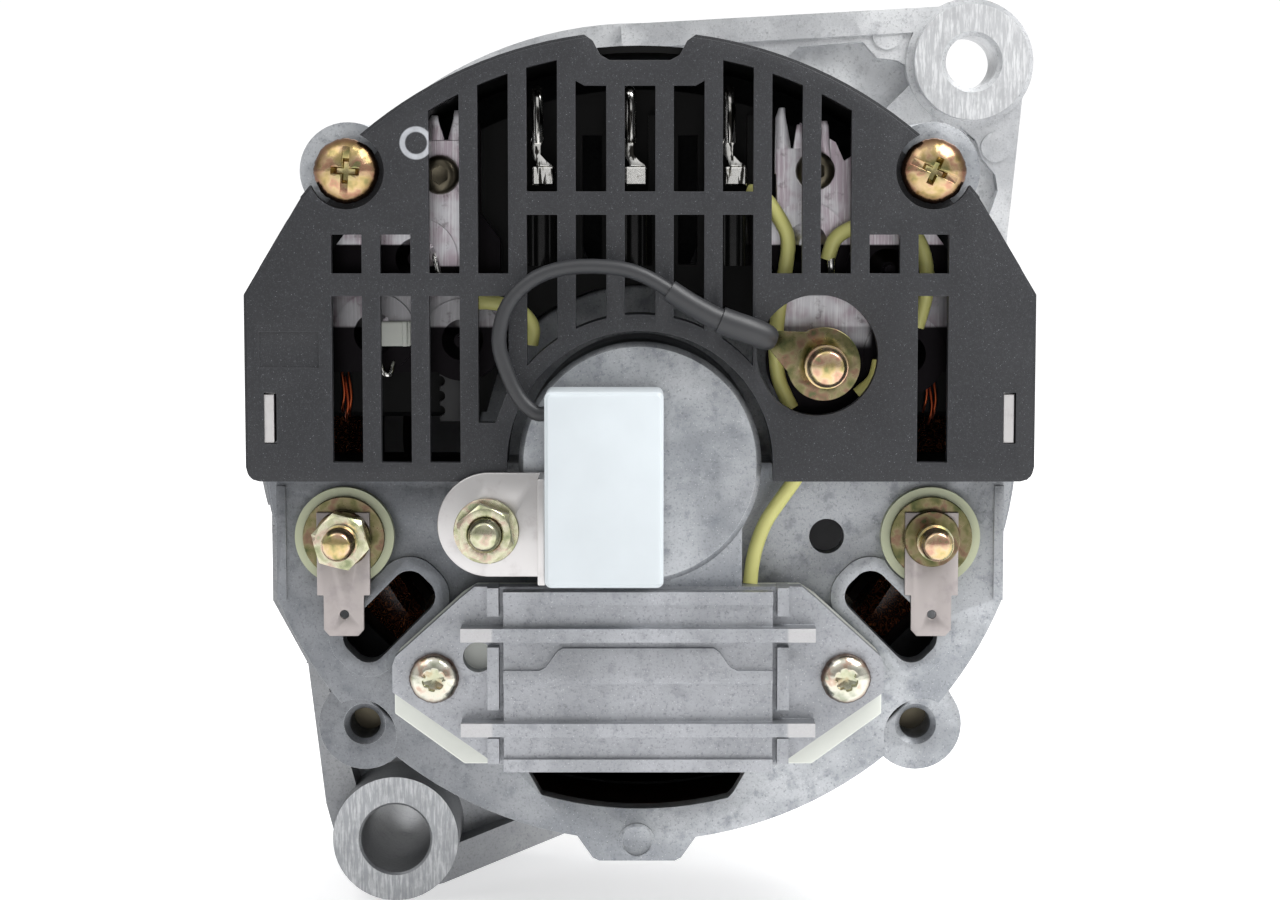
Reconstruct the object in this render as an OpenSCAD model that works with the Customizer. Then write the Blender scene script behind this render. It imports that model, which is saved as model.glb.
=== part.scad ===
// Belt-driven vehicle alternator with a claw-pole rotor, built in a regulator and slip rings.
// The shaft lies along Y: the slip-ring end faces -Y and the belt pulley faces +Y.
// Depths along the shaft are counted from the outer face of the black rear cover.

/* [Rear bracket] */
// Radius of the rear bracket's outline
body_r = 61.3; // [60.5:0.1:63]
// Half distance between the two flats on its sides
flat_half = 57; // [54:0.5:60]
// Wall thickness of the castings
wall = 3.6; // [3:0.1:5]
// Depth of the rear bracket's main face behind the cover's face
main_d = 12; // [11:0.5:14]
// Thickness of the rear bracket's end plate
plate_t = 4; // [3:0.5:6]
// Depth of the recessed wall that carries the rectifier
recess_d = 25; // [24:0.5:28]
// Outer radius of the rear bearing dome
dome_r = 18.6; // [18.3:0.1:19.5]
// Depth of the dome's flat end face
dome_d = 1; // [0:0.5:2.2]
// Width and height of the rear bracket's slanted vents
vent_len = 16.6; // [12:0.2:19]
vent_w = 7.4; // [5:0.2:8]

/* [Through bolts] */
// How far the bolts' axes lie outside the laminations
bolt_out = 2.93; // [2.9:0.01:4]
// Radius of the M5 bolts
bolt_r = 2.5; // [2:0.1:2.6]
// Radius of the lugs round the bolts
lug_r = 7.4; // [6.5:0.1:8]
// Depth of the lower lugs' rear faces
lug_d = 22.5; // [20:0.5:26]
// Radius of the counterbore that clears a lug in the main face
scallop_r = 6; // [5:0.1:7]

/* [Stator] */
// Depth of the stator stack's rear face
stack_d = 52; // [52:0.5:56]
// Length of the laminated stack
stack_len = 30; // [26:1:40]
// Wall of the casting round the laminations
stator_wall = 1.3; // [1.1:0.1:2]
// Radial depth of the laminations
stator_depth = 15; // [14:0.5:16]
// Number of winding slots
slot_n = 36; // [24:12:48]
// How far the winding stands out past each end of the stack
overhang = 13; // [10:0.5:14]

/* [Rotor] */
// Air gap between claws and stator
air_gap = 0.5; // [0.3:0.1:1]
// Number of claws on each pole
claw_n = 6; // [5:1:7]
// Radius of the shaft inside the poles
core_shaft_r = 9; // [8.6:0.1:11]
// Radius of the slip rings
ring_r = 14; // [12:0.5:14.5]
// Width of one slip ring
ring_w = 6; // [5:0.5:6.5]
// Gap between the two slip rings
ring_gap = 3; // [2:0.5:4]

/* [Bearings] */
// Bore, outer diameter and width of the rear bearing
rear_bore = 12; // [10:1:13]
rear_od = 32; // [30:1:32]
rear_bw = 10; // [9:0.5:10.5]
// Bore, outer diameter and width of the front bearing
front_bore = 17; // [15:1:17]
front_od = 47; // [44:1:50]
front_bw = 14; // [12:0.5:15]
// Number of balls in each bearing
ball_n = 7; // [6:1:7]

/* [Front bracket] */
// Radius of the round flange
flange_r = 71.5; // [70.5:0.5:73]
// Thickness of the flange
flange_t = 7; // [5:0.5:9]
// Thickness of the front wall
front_wall = 5; // [4:0.5:6]
// Number of cooling slots in the front wall
front_vents = 12; // [10:1:14]

/* [Pivot lug] */
// Place of the pivot boss in the rear view
pivot_x = -42.9; // [-45:0.1:-40]
pivot_z = -72.2; // [-75:0.1:-71]
// Outer radius, bore radius and rear-face depth of the pivot boss
pivot_r = 11; // [10:0.1:13]
pivot_bore_r = 6.1; // [5:0.05:6.6]
pivot_d = 60; // [56:1:70]

/* [Adjusting ear] */
// Place of the ear boss in the rear view
ear_x = 60; // [58:0.1:63]
ear_z = 64.1; // [62:0.1:67]
// Outer radius, bore radius and rear-face depth of the ear boss
ear_r = 10.4; // [9.5:0.1:12]
ear_bore_r = 4.7; // [4:0.05:5.2]
ear_d = 88; // [84:0.5:92]

/* [Rear cover] */
// How far the cover's round top stands out past the bracket
cover_over = 4.2; // [3.4:0.1:5]
// Half width of the cover
cover_half = 60.2; // [59.5:0.1:61.5]
// Depth of the cover's side walls
cover_depth = 20; // [16:0.5:22]
// Thickness of the cover's face
cover_t = 2.4; // [1.8:0.1:3]
// Pitch and width of the window columns
win_pitch = 7.42; // [7.3:0.01:7.5]
win_w = 4.65; // [4:0.05:5]

/* [Fan and pulley] */
// Fan radius
fan_r = 60; // [50:1:64]
// Number of fan blades
fan_n = 12; // [8:1:14]
// Outer radius of the pulley
pulley_r = 38; // [34:0.5:42]
// Width of the V groove at the rim and its full angle
groove_w = 12.7; // [10:0.1:14]
groove_angle = 38; // [34:1:40]
// Depth of the groove
groove_depth = 11; // [9:0.5:12]

/* [Terminals and capacitor] */
// Stud places of the two blade terminals
left_post_x = -46.2; // [-48:0.1:-45]
right_post_x = 45.4; // [44:0.1:47]
post_z = -12.4; // [-14:0.1:-12]
// Place of the output stud
out_x = 27.9; // [26:0.1:29]
out_z = 15.3; // [14.5:0.1:16.5]
// Place of the capacitor's fixing stud
cap_stud_x = -23.4; // [-26:0.1:-23]
cap_stud_z = -10.1; // [-13:0.1:-9.5]
// Width, height and thickness of the capacitor case
cap_w = 17.7; // [14:0.1:18.4]
cap_h = 29.3; // [24:0.1:30]
cap_t = 11; // [9:0.5:12]

/* [Regulator] */
// Half width and height of the finned block
reg_half = 20.7; // [18:0.1:22]
reg_h = 28; // [25:0.5:29]
// Top edge of the finned block
reg_top_z = -19.7; // [-21:0.1:-19.5]
// Half spacing and height of the fixing screws
reg_screw_x = 31.8; // [30:0.1:33]
reg_screw_z = -33.5; // [-35:0.1:-32]

/* [Hidden] */
$fn = 64;

// Depths along the shaft
stack_end = stack_d + stack_len;
winding_d = stack_d - overhang;
winding_end = stack_end + overhang;
flange_d = winding_end + 2;
flange_end = flange_d + flange_t;
front_wall_end = flange_end + front_wall;
rotor_over = 3;
rotor_d = stack_d - rotor_over;
rotor_end = stack_end + rotor_over;
rotor_mid = (rotor_d + rotor_end) / 2;
rear_bearing_d = dome_d + 3;
rear_bearing_end = rear_bearing_d + rear_bw;
retainer_t = 2;
front_bearing_d = flange_d + 4;
front_bearing_end = front_bearing_d + front_bw;
retainer_d = front_bearing_d - retainer_t;
hub_lip = 2.5;
hub_end = front_bearing_end + hub_lip;
fan_t = 1.5;
blade_h = 10;
fan_d = hub_end + blade_h + 2;
groove_half = groove_w / 2;
pulley_rim_t = 2;
pulley_hub_d = fan_d + fan_t;
pulley_flange_t = groove_half + pulley_rim_t;
pulley_hub_len = 7;
groove_d = pulley_hub_d + pulley_hub_len + pulley_flange_t;
pulley_end = groove_d + pulley_flange_t;
nut_h = 13;
shaft_end = pulley_end + nut_h + 3;
chamber_end = rotor_d - 9;
winding_room_d = winding_d - 2;

// Radii
stator_r = body_r - stator_wall;
stator_bore_r = stator_r - stator_depth;
bolt_pcr = stator_r + bolt_out;
bolt_xy = bolt_pcr / sqrt(2);
cover_r = body_r + cover_over;
bearing_wall_r = rear_od / 2;
front_seat_r = front_od / 2;
front_hub_r = front_seat_r + 5.5;
rotor_r = stator_bore_r - air_gap;
core_r = rotor_r - 24.5;
coil_gap = 0.2;
claw_depth = 10.5;
collar_r = stator_r + 3.5;
claw_disc_t = 8;
groove_root_r = pulley_r - groove_depth;
groove_root_half = groove_half - groove_depth * tan(groove_angle / 2);
slot_w = 3;
slot_depth = 9;
tapped_r = bolt_r;

// Terminal stacks
stud_r = 2.5;
insulator_t = 2.2;
insulator_r = 7.75;
washer_t = 1.1;
blade_t = 0.8;
nut_t = 4;
post_tip_d = -2;
blade_w = 6.3;
out_stud_r = 3;
lead_ring_d = -0.4;
lead_ring_end = 1;
out_nut_d = lead_ring_d - 6;

// Regulator and brush gear
reg_flange_d = 3;
reg_flange_end = 6;
reg_base_end = main_d - 1.5;
reg_fin_d = -2;
brush_gap = 0.1;
brush_w = 6.4;
brush_t = 5;
brush_len = 13;
holder_half = 5.6;
ring_1_d = rear_bearing_end + 5 + ring_w / 2;
ring_2_d = ring_1_d + ring_w + ring_gap;
holder_end = ring_2_d + brush_t / 2 + 1.6;
holder_floor_z = -ring_r - brush_len - 7;
holder_top_z = -ring_r - 1.2;
holder_wall = 2;

// Bearings
rear_pitch_r = (rear_bore + rear_od) / 4;
rear_ball_r = (rear_od - rear_bore) * 0.14875;
front_pitch_r = (front_bore + front_od) / 4;
front_ball_r = (front_od - front_bore) * 0.1455;
race_clear = 0.06;

// Flat drawing of the rear view, filled between two depths
module slab(d0, d1) {
  translate([0, d1 - groove_d, 0]) rotate([90, 0, 0]) linear_extrude(d1 - d0) children();
}

// Round bar along the shaft direction
module rod(d0, d1, r, x = 0, z = 0, fn = 64) {
  translate([x, d1 - groove_d, z]) rotate([90, 0, 0]) cylinder(h = d1 - d0, r = r, $fn = fn);
}

// Cone along the shaft direction, r0 at depth d0 and r1 at depth d1
module taper(d0, d1, r0, r1, x = 0, z = 0) {
  translate([x, d1 - groove_d, z]) rotate([90, 0, 0]) cylinder(h = d1 - d0, r1 = r1, r2 = r0);
}

// Turned shape: the drawing holds radius across and depth upwards
module turned() {
  rotate([-90, 0, 0]) rotate_extrude($fn = 96) translate([0, -groove_d]) children();
}

// Copies at the four bolt corners, or at the upper or lower pair
module corners(zs = [-1, 1]) {
  for (sx = [-1, 1], sz = zs) translate([sx * bolt_xy, 0, sz * bolt_xy]) children();
}

// Copies turned about the shaft
module around(n, first = 0) {
  for (i = [0 : n - 1]) rotate([0, first + i * 360 / n, 0]) children();
}

// Rectangle with rounded corners, centred
module round_box_2d(w, h, r) {
  union() {
    square([w - 2 * r, h], center = true);
    square([w, h - 2 * r], center = true);
    for (sx = [-1, 1], sz = [-1, 1]) translate([sx * (w / 2 - r), sz * (h / 2 - r)]) circle(r = r);
  }
}

// Hexagon nut with chamfered corners, front face towards the viewer
module hex_nut(d0, d1, across, bore_r, x, z, turn = 0) {
  corner_r = across / 2 / cos(30);
  difference() {
    intersection() {
      translate([x, 0, z]) rotate([0, turn, 0]) rod(d0, d1, corner_r, fn = 6);
      translate([x, 0, z]) turned() polygon([
        [0, d0], [across / 2 * 0.96, d0], [corner_r + 0.1, d0 + 0.9],
        [corner_r + 0.1, d1], [0, d1]]);
    }
    rod(d0 - 1, d1 + 1, bore_r, x, z);
  }
}

// Stud with a chamfered free end
module stud(d0, d1, r, x, z) {
  taper(d0, d0 + 0.8, r - 0.7, r, x, z);
  rod(d0 + 0.8, d1, r, x, z);
}

// Tube along a smooth curve through chosen points
function spline_point(a, b, c, d, t) =
  0.5 * (2 * b + (c - a) * t + (2 * a - 5 * b + 4 * c - d) * t * t
         + (3 * b - a - 3 * c + d) * t * t * t);
function spline_path(p, n) = [
  for (i = [0 : len(p) - 2], j = [0 : n - 1])
    spline_point(p[max(i - 1, 0)], p[i], p[i + 1], p[min(i + 2, len(p) - 1)], j / n),
  p[len(p) - 1]
];
function unit(v) = v / norm(v);
function tangent(p, i) = unit(p[min(i + 1, len(p) - 1)] - p[max(i - 1, 0)]);
module tube(path, r, sides = 8) {
  count = len(path);
  points = [
    for (i = [0 : count - 1])
      let (t = tangent(path, i), u = unit(cross(t, [0, 1, 0])), v = cross(t, u))
        for (k = [0 : sides - 1])
          path[i] + r * (cos(k * 360 / sides) * u + sin(k * 360 / sides) * v)
  ];
  walls = [
    for (i = [0 : count - 2], k = [0 : sides - 1])
      let (a = i * sides + k, b = i * sides + (k + 1) % sides)
        each [[a, a + sides, b], [b, a + sides, b + sides]]
  ];
  near_end = [for (k = [0 : sides - 1]) k];
  far_end = [for (k = [sides - 1 : -1 : 0]) (count - 1) * sides + k];
  translate([0, -groove_d, 0]) polyhedron(points, concat(walls, [near_end, far_end]));
}

// Outline of the rear bracket's main face, with room round the lower bolt heads
tab_x = -0.5;
rim_w = 1.5;
rim_h = 0.8;
module main_outline_2d() {
  difference() {
    intersection() {
      circle(r = body_r, $fn = 128);
      square([2 * flat_half, 3 * body_r], center = true);
    }
    for (sx = [-1, 1]) translate([sx * bolt_xy, -bolt_xy]) {
      circle(r = scallop_r);
      rotate(sx > 0 ? -45 : -135) translate([0, 0.4 - scallop_r]) square([20, 2 * scallop_r - 0.8]);
    }
  }
}

// Outline of the bracket's round skirt
module skirt_outline_2d() {
  intersection() {
    circle(r = body_r, $fn = 128);
    square([2 * flat_half, 3 * body_r], center = true);
  }
}

// Lug with its web, drawn at the corner of the bolt square
module lug_2d(sx, sz, r = lug_r) {
  translate([sx * bolt_xy, sz * bolt_xy]) circle(r = r);
  rotate(atan2(sz, sx)) translate([bolt_pcr - 9, 0]) polygon([
    [0, -r - 5], [9, 0.3 - r], [9, r - 0.3], [0, r + 5], [-3, r + 5], [-3, -r - 5]]);
}

module vent_2d(grow = 0) {
  for (sx = [-1, 1]) translate([sx * 39.4, -25.2]) rotate(sx * -45)
    round_box_2d(vent_len + 2 * grow, vent_w + 2 * grow, 2.9 + grow);
}

module bottom_window_2d() {
  intersection() {
    circle(r = body_r - 5.2, $fn = 128);
    polygon([[-18, -42], [18, -42], [17, -49.6], [14.8, -53.4], [12, -56.5], [-13, -57],
             [-15.8, -53.6], [-18, -49.6]]);
  }
}

module recess_vents_2d() {
  for (i = [0 : 8]) rotate(i * 22.5) translate([(bearing_wall_r + 8.5 + body_r - wall) / 2, 0])
    square([body_r - wall - bearing_wall_r - 12, i % 2 == 0 ? 10.5 : 8], center = true);
}

module rear_bracket() color([0.62, 0.64, 0.66]) {
  difference() {
    union() {
      // Main face below the cover
      intersection() {
        slab(main_d, main_d + plate_t) main_outline_2d();
        slab(main_d, main_d + plate_t) translate([-80, -80]) square([160, 79]);
      }
      // Step up to the recessed wall behind the cover
      slab(main_d, recess_d + plate_t) difference() {
        intersection() {
          skirt_outline_2d();
          translate([-80, -4.6]) square([160, wall]);
        }
        circle(r = bearing_wall_r);
      }
      // Recessed wall behind the rectifier
      slab(recess_d, recess_d + plate_t) difference() {
        intersection() {
          skirt_outline_2d();
          translate([-80, -3]) square([160, 80]);
        }
        recess_vents_2d();
      }
      slab(recess_d, recess_d + plate_t) {
        translate([out_x, out_z]) circle(r = 8.2);
        for (p = rectifier_posts) translate(p) circle(r = 4.8);
        for (x = strip_feet_x) translate([x, strip_foot_z]) circle(r = 4.4);
      }
      // Skirt
      slab(main_d, winding_room_d) difference() {
        main_outline_2d();
        skirt_inner_2d();
        translate([-80, 0]) square([160, 80]);
      }
      slab(lug_d + 6, winding_room_d) difference() {
        skirt_outline_2d();
        skirt_inner_2d();
        translate([-80, 0]) square([160, 80]);
      }
      slab(recess_d, winding_room_d) difference() {
        skirt_outline_2d();
        skirt_inner_2d();
        translate([-80, -80]) square([160, 79]);
      }
      rod(winding_room_d - wall, stack_d, body_r);
      // Collar that centres the stator stack
      slab(stack_d - 6, stack_d + 6) circle(r = collar_r, $fn = 128);
      // Lugs for the through bolts
      slab(lug_d, stack_d + 6) for (sx = [-1, 1]) lug_2d(sx, -1);
      slab(recess_d, stack_d + 6) for (sx = [-1, 1]) lug_2d(sx, 1);
      corners([1]) rod(cover_screw_floor, recess_d + 1, lug_r);
      // Bearing dome and slip-ring chamber
      rod(dome_d + 0.8, chamber_end, dome_r);
      taper(dome_d, dome_d + 0.8, dome_r - 0.8, dome_r);
      // Box over the brush opening
      slab(dome_d + 2, main_d + 1) translate([-15.5, -19.3]) square([31.2, 14]);
      // Raised rims of the slanted vents
      slab(main_d - 1.2, main_d + 1) difference() {
        intersection() {
          vent_2d(2.2);
          skirt_outline_2d();
        }
        for (x = post_xs) translate([x, post_z]) circle(r = insulator_r + 0.3);
      }
      // Raised edges along the two flats
      slab(main_d - rim_h, main_d + 1) intersection() {
        main_outline_2d();
        for (sx = [-1, 1]) translate([sx * (flat_half - rim_w / 2), -13.6])
          square([rim_w, 18], center = true);
      }
      // Bottom tab
      translate([tab_x, 0, -body_r]) slab(main_d, main_d + 5) polygon([
        [-11, 3.3], [-9.8, 1.3], [-7, -2.7], [-6, -3.2], [6, -3.2], [7, -2.7], [9.8, 1.3],
        [11, 3.3]]);
      translate([tab_x, 0, -body_r]) slab(main_d - 0.4, main_d + 1) difference() {
        circle(r = 2.9);
        circle(r = 2.3);
      }
      // Top tab seen in the cover's notch
      slab(recess_d - 8, recess_d + plate_t) intersection() {
        translate([-5, body_r - 5.3]) square([10, 6]);
        circle(r = body_r, $fn = 128);
      }
      // Bosses for the regulator screws
      for (sx = [-1, 1]) rod(reg_base_end, main_d + plate_t, 5, sx * reg_screw_x, reg_screw_z);
      // Boss for the capacitor stud
      rod(cap_boss_d, main_d + plate_t, 4.6, cap_stud_x, cap_stud_z);
      // Bosses for the rectifier
      for (p = rectifier_posts) rod(rect_plate_end, recess_d + 1, 3.4, p[0], p[1]);
    }
    // Stator seat and the room for the winding
    rod(stack_d, stack_d + 7, stator_r + 0.02);
    rod(winding_room_d, stack_d + 7, body_r - wall - 0.4);
    difference() {
      slab(winding_room_d - wall - 1, winding_room_d + 1) skirt_inner_2d();
      rod(0, winding_room_d + 2, dome_r);
    }
    // Bearing seat and slip-ring chamber
    rod(rear_bearing_d, chamber_end + 1, bearing_wall_r);
    rod(rear_bearing_d - 1.2, chamber_end, bearing_wall_r - 3);
    // Way in for the brush holder
    slab(reg_base_end - 1, chamber_end + 1) translate([-8.4, holder_floor_z - holder_wall - 0.6])
      square([16.8, -bearing_wall_r - holder_floor_z + holder_wall + 0.4]);
    slab(rear_bearing_end + 1.5, chamber_end + 1) translate([-8.4, -22]) square([16.8, 10]);
    // Vents
    slab(main_d - 3, main_d + plate_t + 1) vent_2d();
    slab(main_d - 3, main_d + plate_t + 1) bottom_window_2d();
    // Round hole beside the right terminal
    rod(main_d - 1, main_d + plate_t + 1, 2.75, 29.3, -12.6);
    // Tapped holes of the through bolts
    corners() rod(-5, stack_d + 7, tapped_r);
    corners([-1]) taper(lug_d - 0.01, lug_d + 0.9, tapped_r + 0.9, tapped_r);
    // Holes for the terminal studs, the capacitor stud and the regulator screws
    for (x = [left_post_x, right_post_x]) rod(main_d - 1, main_d + plate_t + 1, 3.4, x, post_z);
    rod(cap_boss_d - 1, main_d + plate_t + 1, stud_r, cap_stud_x, cap_stud_z);
    for (sx = [-1, 1]) rod(reg_base_end - 1, main_d + plate_t + 1, 2, sx * reg_screw_x, reg_screw_z);
    rod(recess_d - 1, recess_d + plate_t + 1, out_stud_r + 1.2, out_x, out_z);
    for (p = rectifier_posts) rod(rect_plate_end - 1, recess_d + plate_t + 2, 2, p[0], p[1]);
  }
}

// Inside of the skirt
module skirt_inner_2d() {
  intersection() {
    circle(r = body_r - wall, $fn = 128);
    square([2 * (flat_half - wall), 3 * body_r], center = true);
  }
}

// Front view outline of the two mounting lugs with their tangents to the flange
ear_foot_angle = 20.5;
foot_r = flange_r - 0.4;
function lug_angle(x, z) = atan2(z, x);
function tangent_angle(x, z, r) = acos((flange_r - r) / norm([x, z]));
module tangent_plate_2d(x, z, r) {
  a = lug_angle(x, z);
  t = tangent_angle(x, z, r);
  translate([x, z]) circle(r = r);
  polygon([
    [foot_r * cos(a + t), foot_r * sin(a + t)], [x + r * cos(a + t), z + r * sin(a + t)],
    [x + r * cos(a - t), z + r * sin(a - t)], [foot_r * cos(a - t), foot_r * sin(a - t)],
    [0, 0]]);
}

// Pockets in the ear's raised field
ear_field_d = ear_d + 5;
ear_pad_d = ear_field_d - 0.5;
ear_pad_r = 2.7;
ear_field_x = 12;
pivot_pad_d = 78.4;
pivot_pad_angle = 251.9;
module ear_pockets_2d() {
  circle(r = collar_r + 4, $fn = 128);
  translate([ear_field_x - 100, -80]) square([100, 160]);
  polygon([
    [27, 65.4], [29, 67], [40.6, 67.9], [43.2, 65], [47, 64.5], [49.5, 63], [49.3, 60.2],
    [45.3, 56.2], [36, 44], [20, 60]]);
  polygon([
    [53.8, 51], [55.9, 52], [58.8, 52.4], [61.4, 50.1], [62.5, 46.8], [65, 43.8], [65.5, 40.9],
    [64.1, 36.7], [48, 32], [44, 42]]);
}

// The ear's plate meets the flange by a tangent on top and a straight edge at its side
module ear_plate_2d() {
  a = lug_angle(ear_x, ear_z);
  n = a + tangent_angle(ear_x, ear_z, ear_r);
  translate([ear_x, ear_z]) circle(r = ear_r);
  polygon([
    [0, 0], [foot_r * cos(n), foot_r * sin(n)],
    [ear_x + ear_r * cos(n), ear_z + ear_r * sin(n)], [ear_x + ear_r, ear_z],
    [foot_r * cos(ear_foot_angle), foot_r * sin(ear_foot_angle)]]);
}

// Rib along one tangent, thick towards the inside
module tangent_rib_2d(x, z, r, side, thick) {
  a = lug_angle(x, z);
  t = tangent_angle(x, z, r);
  n = a + side * t;
  p0 = [x + r * cos(n), z + r * sin(n)];
  p1 = [foot_r * cos(n), foot_r * sin(n)];
  inward = [-cos(n), -sin(n)] * thick;
  polygon([p0, p1, p1 + inward, p0 + inward]);
}

module front_vents_2d() {
  r0 = front_hub_r + 4;
  r1 = collar_r - 9;
  for (i = [0 : front_vents - 1]) rotate((i + 0.5) * 360 / front_vents) {
    translate([(r0 + r1) / 2, 0]) square([r1 - r0, 11], center = true);
    translate([r1, 0]) circle(r = 5.5);
  }
}

module front_bracket() color([0.74, 0.75, 0.77]) {
  difference() {
    union() {
      // Skirt round the front of the stator, then the flange and the front wall
      rod(stack_end - 6, flange_d, collar_r);
      corners() rod(stack_end - 6, flange_end, lug_r);
      rod(flange_d, flange_end - 1, flange_r);
      taper(flange_end - 1, flange_end, flange_r, flange_r - 1);
      taper(flange_end, front_wall_end, collar_r + 1, collar_r - 3);
      corners() rod(flange_end - 1, front_wall_end, lug_r);
      // Bearing hub with its ribs
      rod(front_bearing_d, hub_end, front_hub_r);
      around(front_vents) translate([0, 0, front_hub_r - 1]) slab(front_wall_end - 1, front_wall_end + 3)
        polygon([[-1.4, 0], [1.4, 0], [1.4, 22], [-1.4, 22]]);
      // Pivot boss with its web and ribs
      rod(pivot_d, front_wall_end + 4, pivot_r, pivot_x, pivot_z);
      slab(flange_d - 6, flange_end) tangent_plate_2d(pivot_x, pivot_z, pivot_r);
      intersection() {
        slab(pivot_d + 2, flange_end) union() {
          tangent_rib_2d(pivot_x, pivot_z, pivot_r, 1, 6);
          tangent_rib_2d(pivot_x, pivot_z, pivot_r, -1, 6);
        }
        pivot_gusset();
      }
      intersection() {
        slab(pivot_d + 4, flange_end) tangent_plate_2d(pivot_x, pivot_z, pivot_r - 2);
        pivot_gusset(8);
      }
      // Adjusting ear with its rim
      rod(ear_d, flange_end, ear_r, ear_x, ear_z);
      slab(flange_d, flange_end) ear_plate_2d();
      slab(ear_d + 4, flange_end) {
        tangent_rib_2d(ear_x, ear_z, ear_r, 1, 4.4);
        difference() {
          ear_plate_2d();
          translate([-4.4, 0]) ear_plate_2d();
          translate([-80, -80]) square([100 + ear_x, 160]);
        }
        difference() {
          translate([ear_x, ear_z]) circle(r = ear_r + 1.2);
          translate([ear_x, ear_z]) circle(r = ear_r - 2);
        }
      }
      slab(ear_pad_d, flange_end) {
        translate([45, 69.2]) circle(r = ear_pad_r);
        translate([65, 48.8]) circle(r = ear_pad_r);
      }
      // Raised field along the ear's edges, with a pocket on each side of its middle web
      slab(ear_field_d, flange_end) difference() {
        ear_plate_2d();
        ear_pockets_2d();
      }
      // Pad on the pivot lug's web
      slab(pivot_pad_d, flange_end) rotate(pivot_pad_angle) translate([flange_r + 8.9, 0])
        circle(r = 2.5);
    }
    // Stator seat and the room for the winding and rotor
    rod(pivot_d, stack_end, stator_r + 0.02);
    difference() {
      rod(stack_end - 0.01, flange_end, stator_r - 2);
      rod(front_bearing_d, flange_end + 1, front_hub_r);
    }
    // Bearing seat, retainer recess and shaft opening
    rod(front_bearing_d - 1, front_bearing_end, front_seat_r);
    rod(front_bearing_end - 1, hub_end + 1, front_seat_r - 5);
    // Cooling slots
    slab(flange_end - 1, front_wall_end + 6) front_vents_2d();
    // Holes of the bolts and of the two lugs
    corners() rod(pivot_d, front_wall_end + 1, bolt_r + 0.1);
    rod(pivot_d - 1, front_wall_end + 5, pivot_bore_r, pivot_x, pivot_z);
    taper(pivot_d - 0.01, pivot_d + 0.4, pivot_bore_r + 0.4, pivot_bore_r, pivot_x, pivot_z);
    rod(ear_d - 1, flange_end + 1, ear_bore_r, ear_x, ear_z);
    taper(ear_d - 0.01, ear_d + 0.8, ear_bore_r + 0.8, ear_bore_r, ear_x, ear_z);
    // Tapped holes of the bearing retainer
    around(3) rod(front_bearing_d - 1, front_bearing_d + 6, 1.6, 0, retainer_screw_r);
  }
}

// Sloping room that limits the ribs of the pivot lug towards the rear
module pivot_gusset(back = 0) {
  translate([0, -groove_d, pivot_z - 30]) linear_extrude(100) polygon([
    [pivot_x - 30, pivot_d + 6 + back], [pivot_x + 8, pivot_d + 6 + back],
    [pivot_x + 42, flange_d - 4], [80, flange_d], [80, flange_end], [pivot_x - 30, flange_end]]);
}

module stator_core() color([0.42, 0.42, 0.44]) {
  difference() {
    rod(stack_d, stack_end, stator_r);
    rod(stack_d - 1, stack_end + 1, stator_bore_r);
    around(slot_n) slab(stack_d - 1, stack_end + 1)
      translate([-slot_w / 2, stator_bore_r - 1]) square([slot_w, slot_depth + 1]);
    corners() rod(stack_d - 1, stack_end + 1, bolt_r + 0.2);
  }
}

module stator_winding() color([0.55, 0.22, 0.08]) {
  turned() winding_section_2d(winding_d, stack_d - 1.5);
  turned() winding_section_2d(stack_end + 1.5, winding_end);
  around(slot_n) slab(stack_d - 3, stack_end + 3)
    translate([-slot_w / 2 + 0.2, stator_bore_r + 1.5]) square([slot_w - 0.4, slot_depth - 1.8]);
}
module winding_section_2d(d0, d1) {
  r0 = stator_bore_r + 1.4;
  r1 = stator_bore_r + slot_depth + 1.6;
  polygon([[r0, d0 + 2.5], [r0 + 2, d0], [r1 - 2, d0], [r1, d0 + 2.5], [r1, d1], [r0, d1]]);
}

module through_bolts() color([0.72, 0.66, 0.42]) {
  corners([-1]) rod(lug_d + 9, front_wall_end, bolt_r);
  corners([1]) rod(lug_d + 4, front_wall_end, bolt_r);
  corners() difference() {
    taper(front_wall_end, front_wall_end + 3.5, 4.6, 4.2);
    rod(front_wall_end + 1.5, front_wall_end + 4, 2.2, fn = 6);
  }
}

// Rear cover: outline, windows and openings
cover_bottom_z = -2.7;
shoulder_z = 25.8;
shoulder_x = 51.4;
shoulder_top_z = 40.4;
cover_screw_floor = 4.2;
screw_recess_r = 5.8;
dome_opening_r = 20.3;
dome_rim_r = 22.8;
out_opening_r = 9.2;
window_r = cover_r - 3.1;
row_low_z = 0.2;
row_mid_z = 25.6;
row_small_z = [29, 34.9];
row_bar_z = [37.9, 41.4];
panel_depth = 0.35;

module notch_2d(grow = 0) {
  translate([0, cover_r]) polygon([
    [-4.6 - grow, -4.4 - grow], [4.6 + grow, -4.4 - grow], [6 + grow, -3.6 - grow],
    [7.1 + grow, -1.5], [8.6 + grow, -0.4], [12 + grow, 0.5], [12 + grow, 4.5], [-12 - grow, 4.5],
    [-12 - grow, 0.5], [-8.6 - grow, -0.4], [-7.1 - grow, -1.5], [-6 - grow, -3.6 - grow]]);
}

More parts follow.
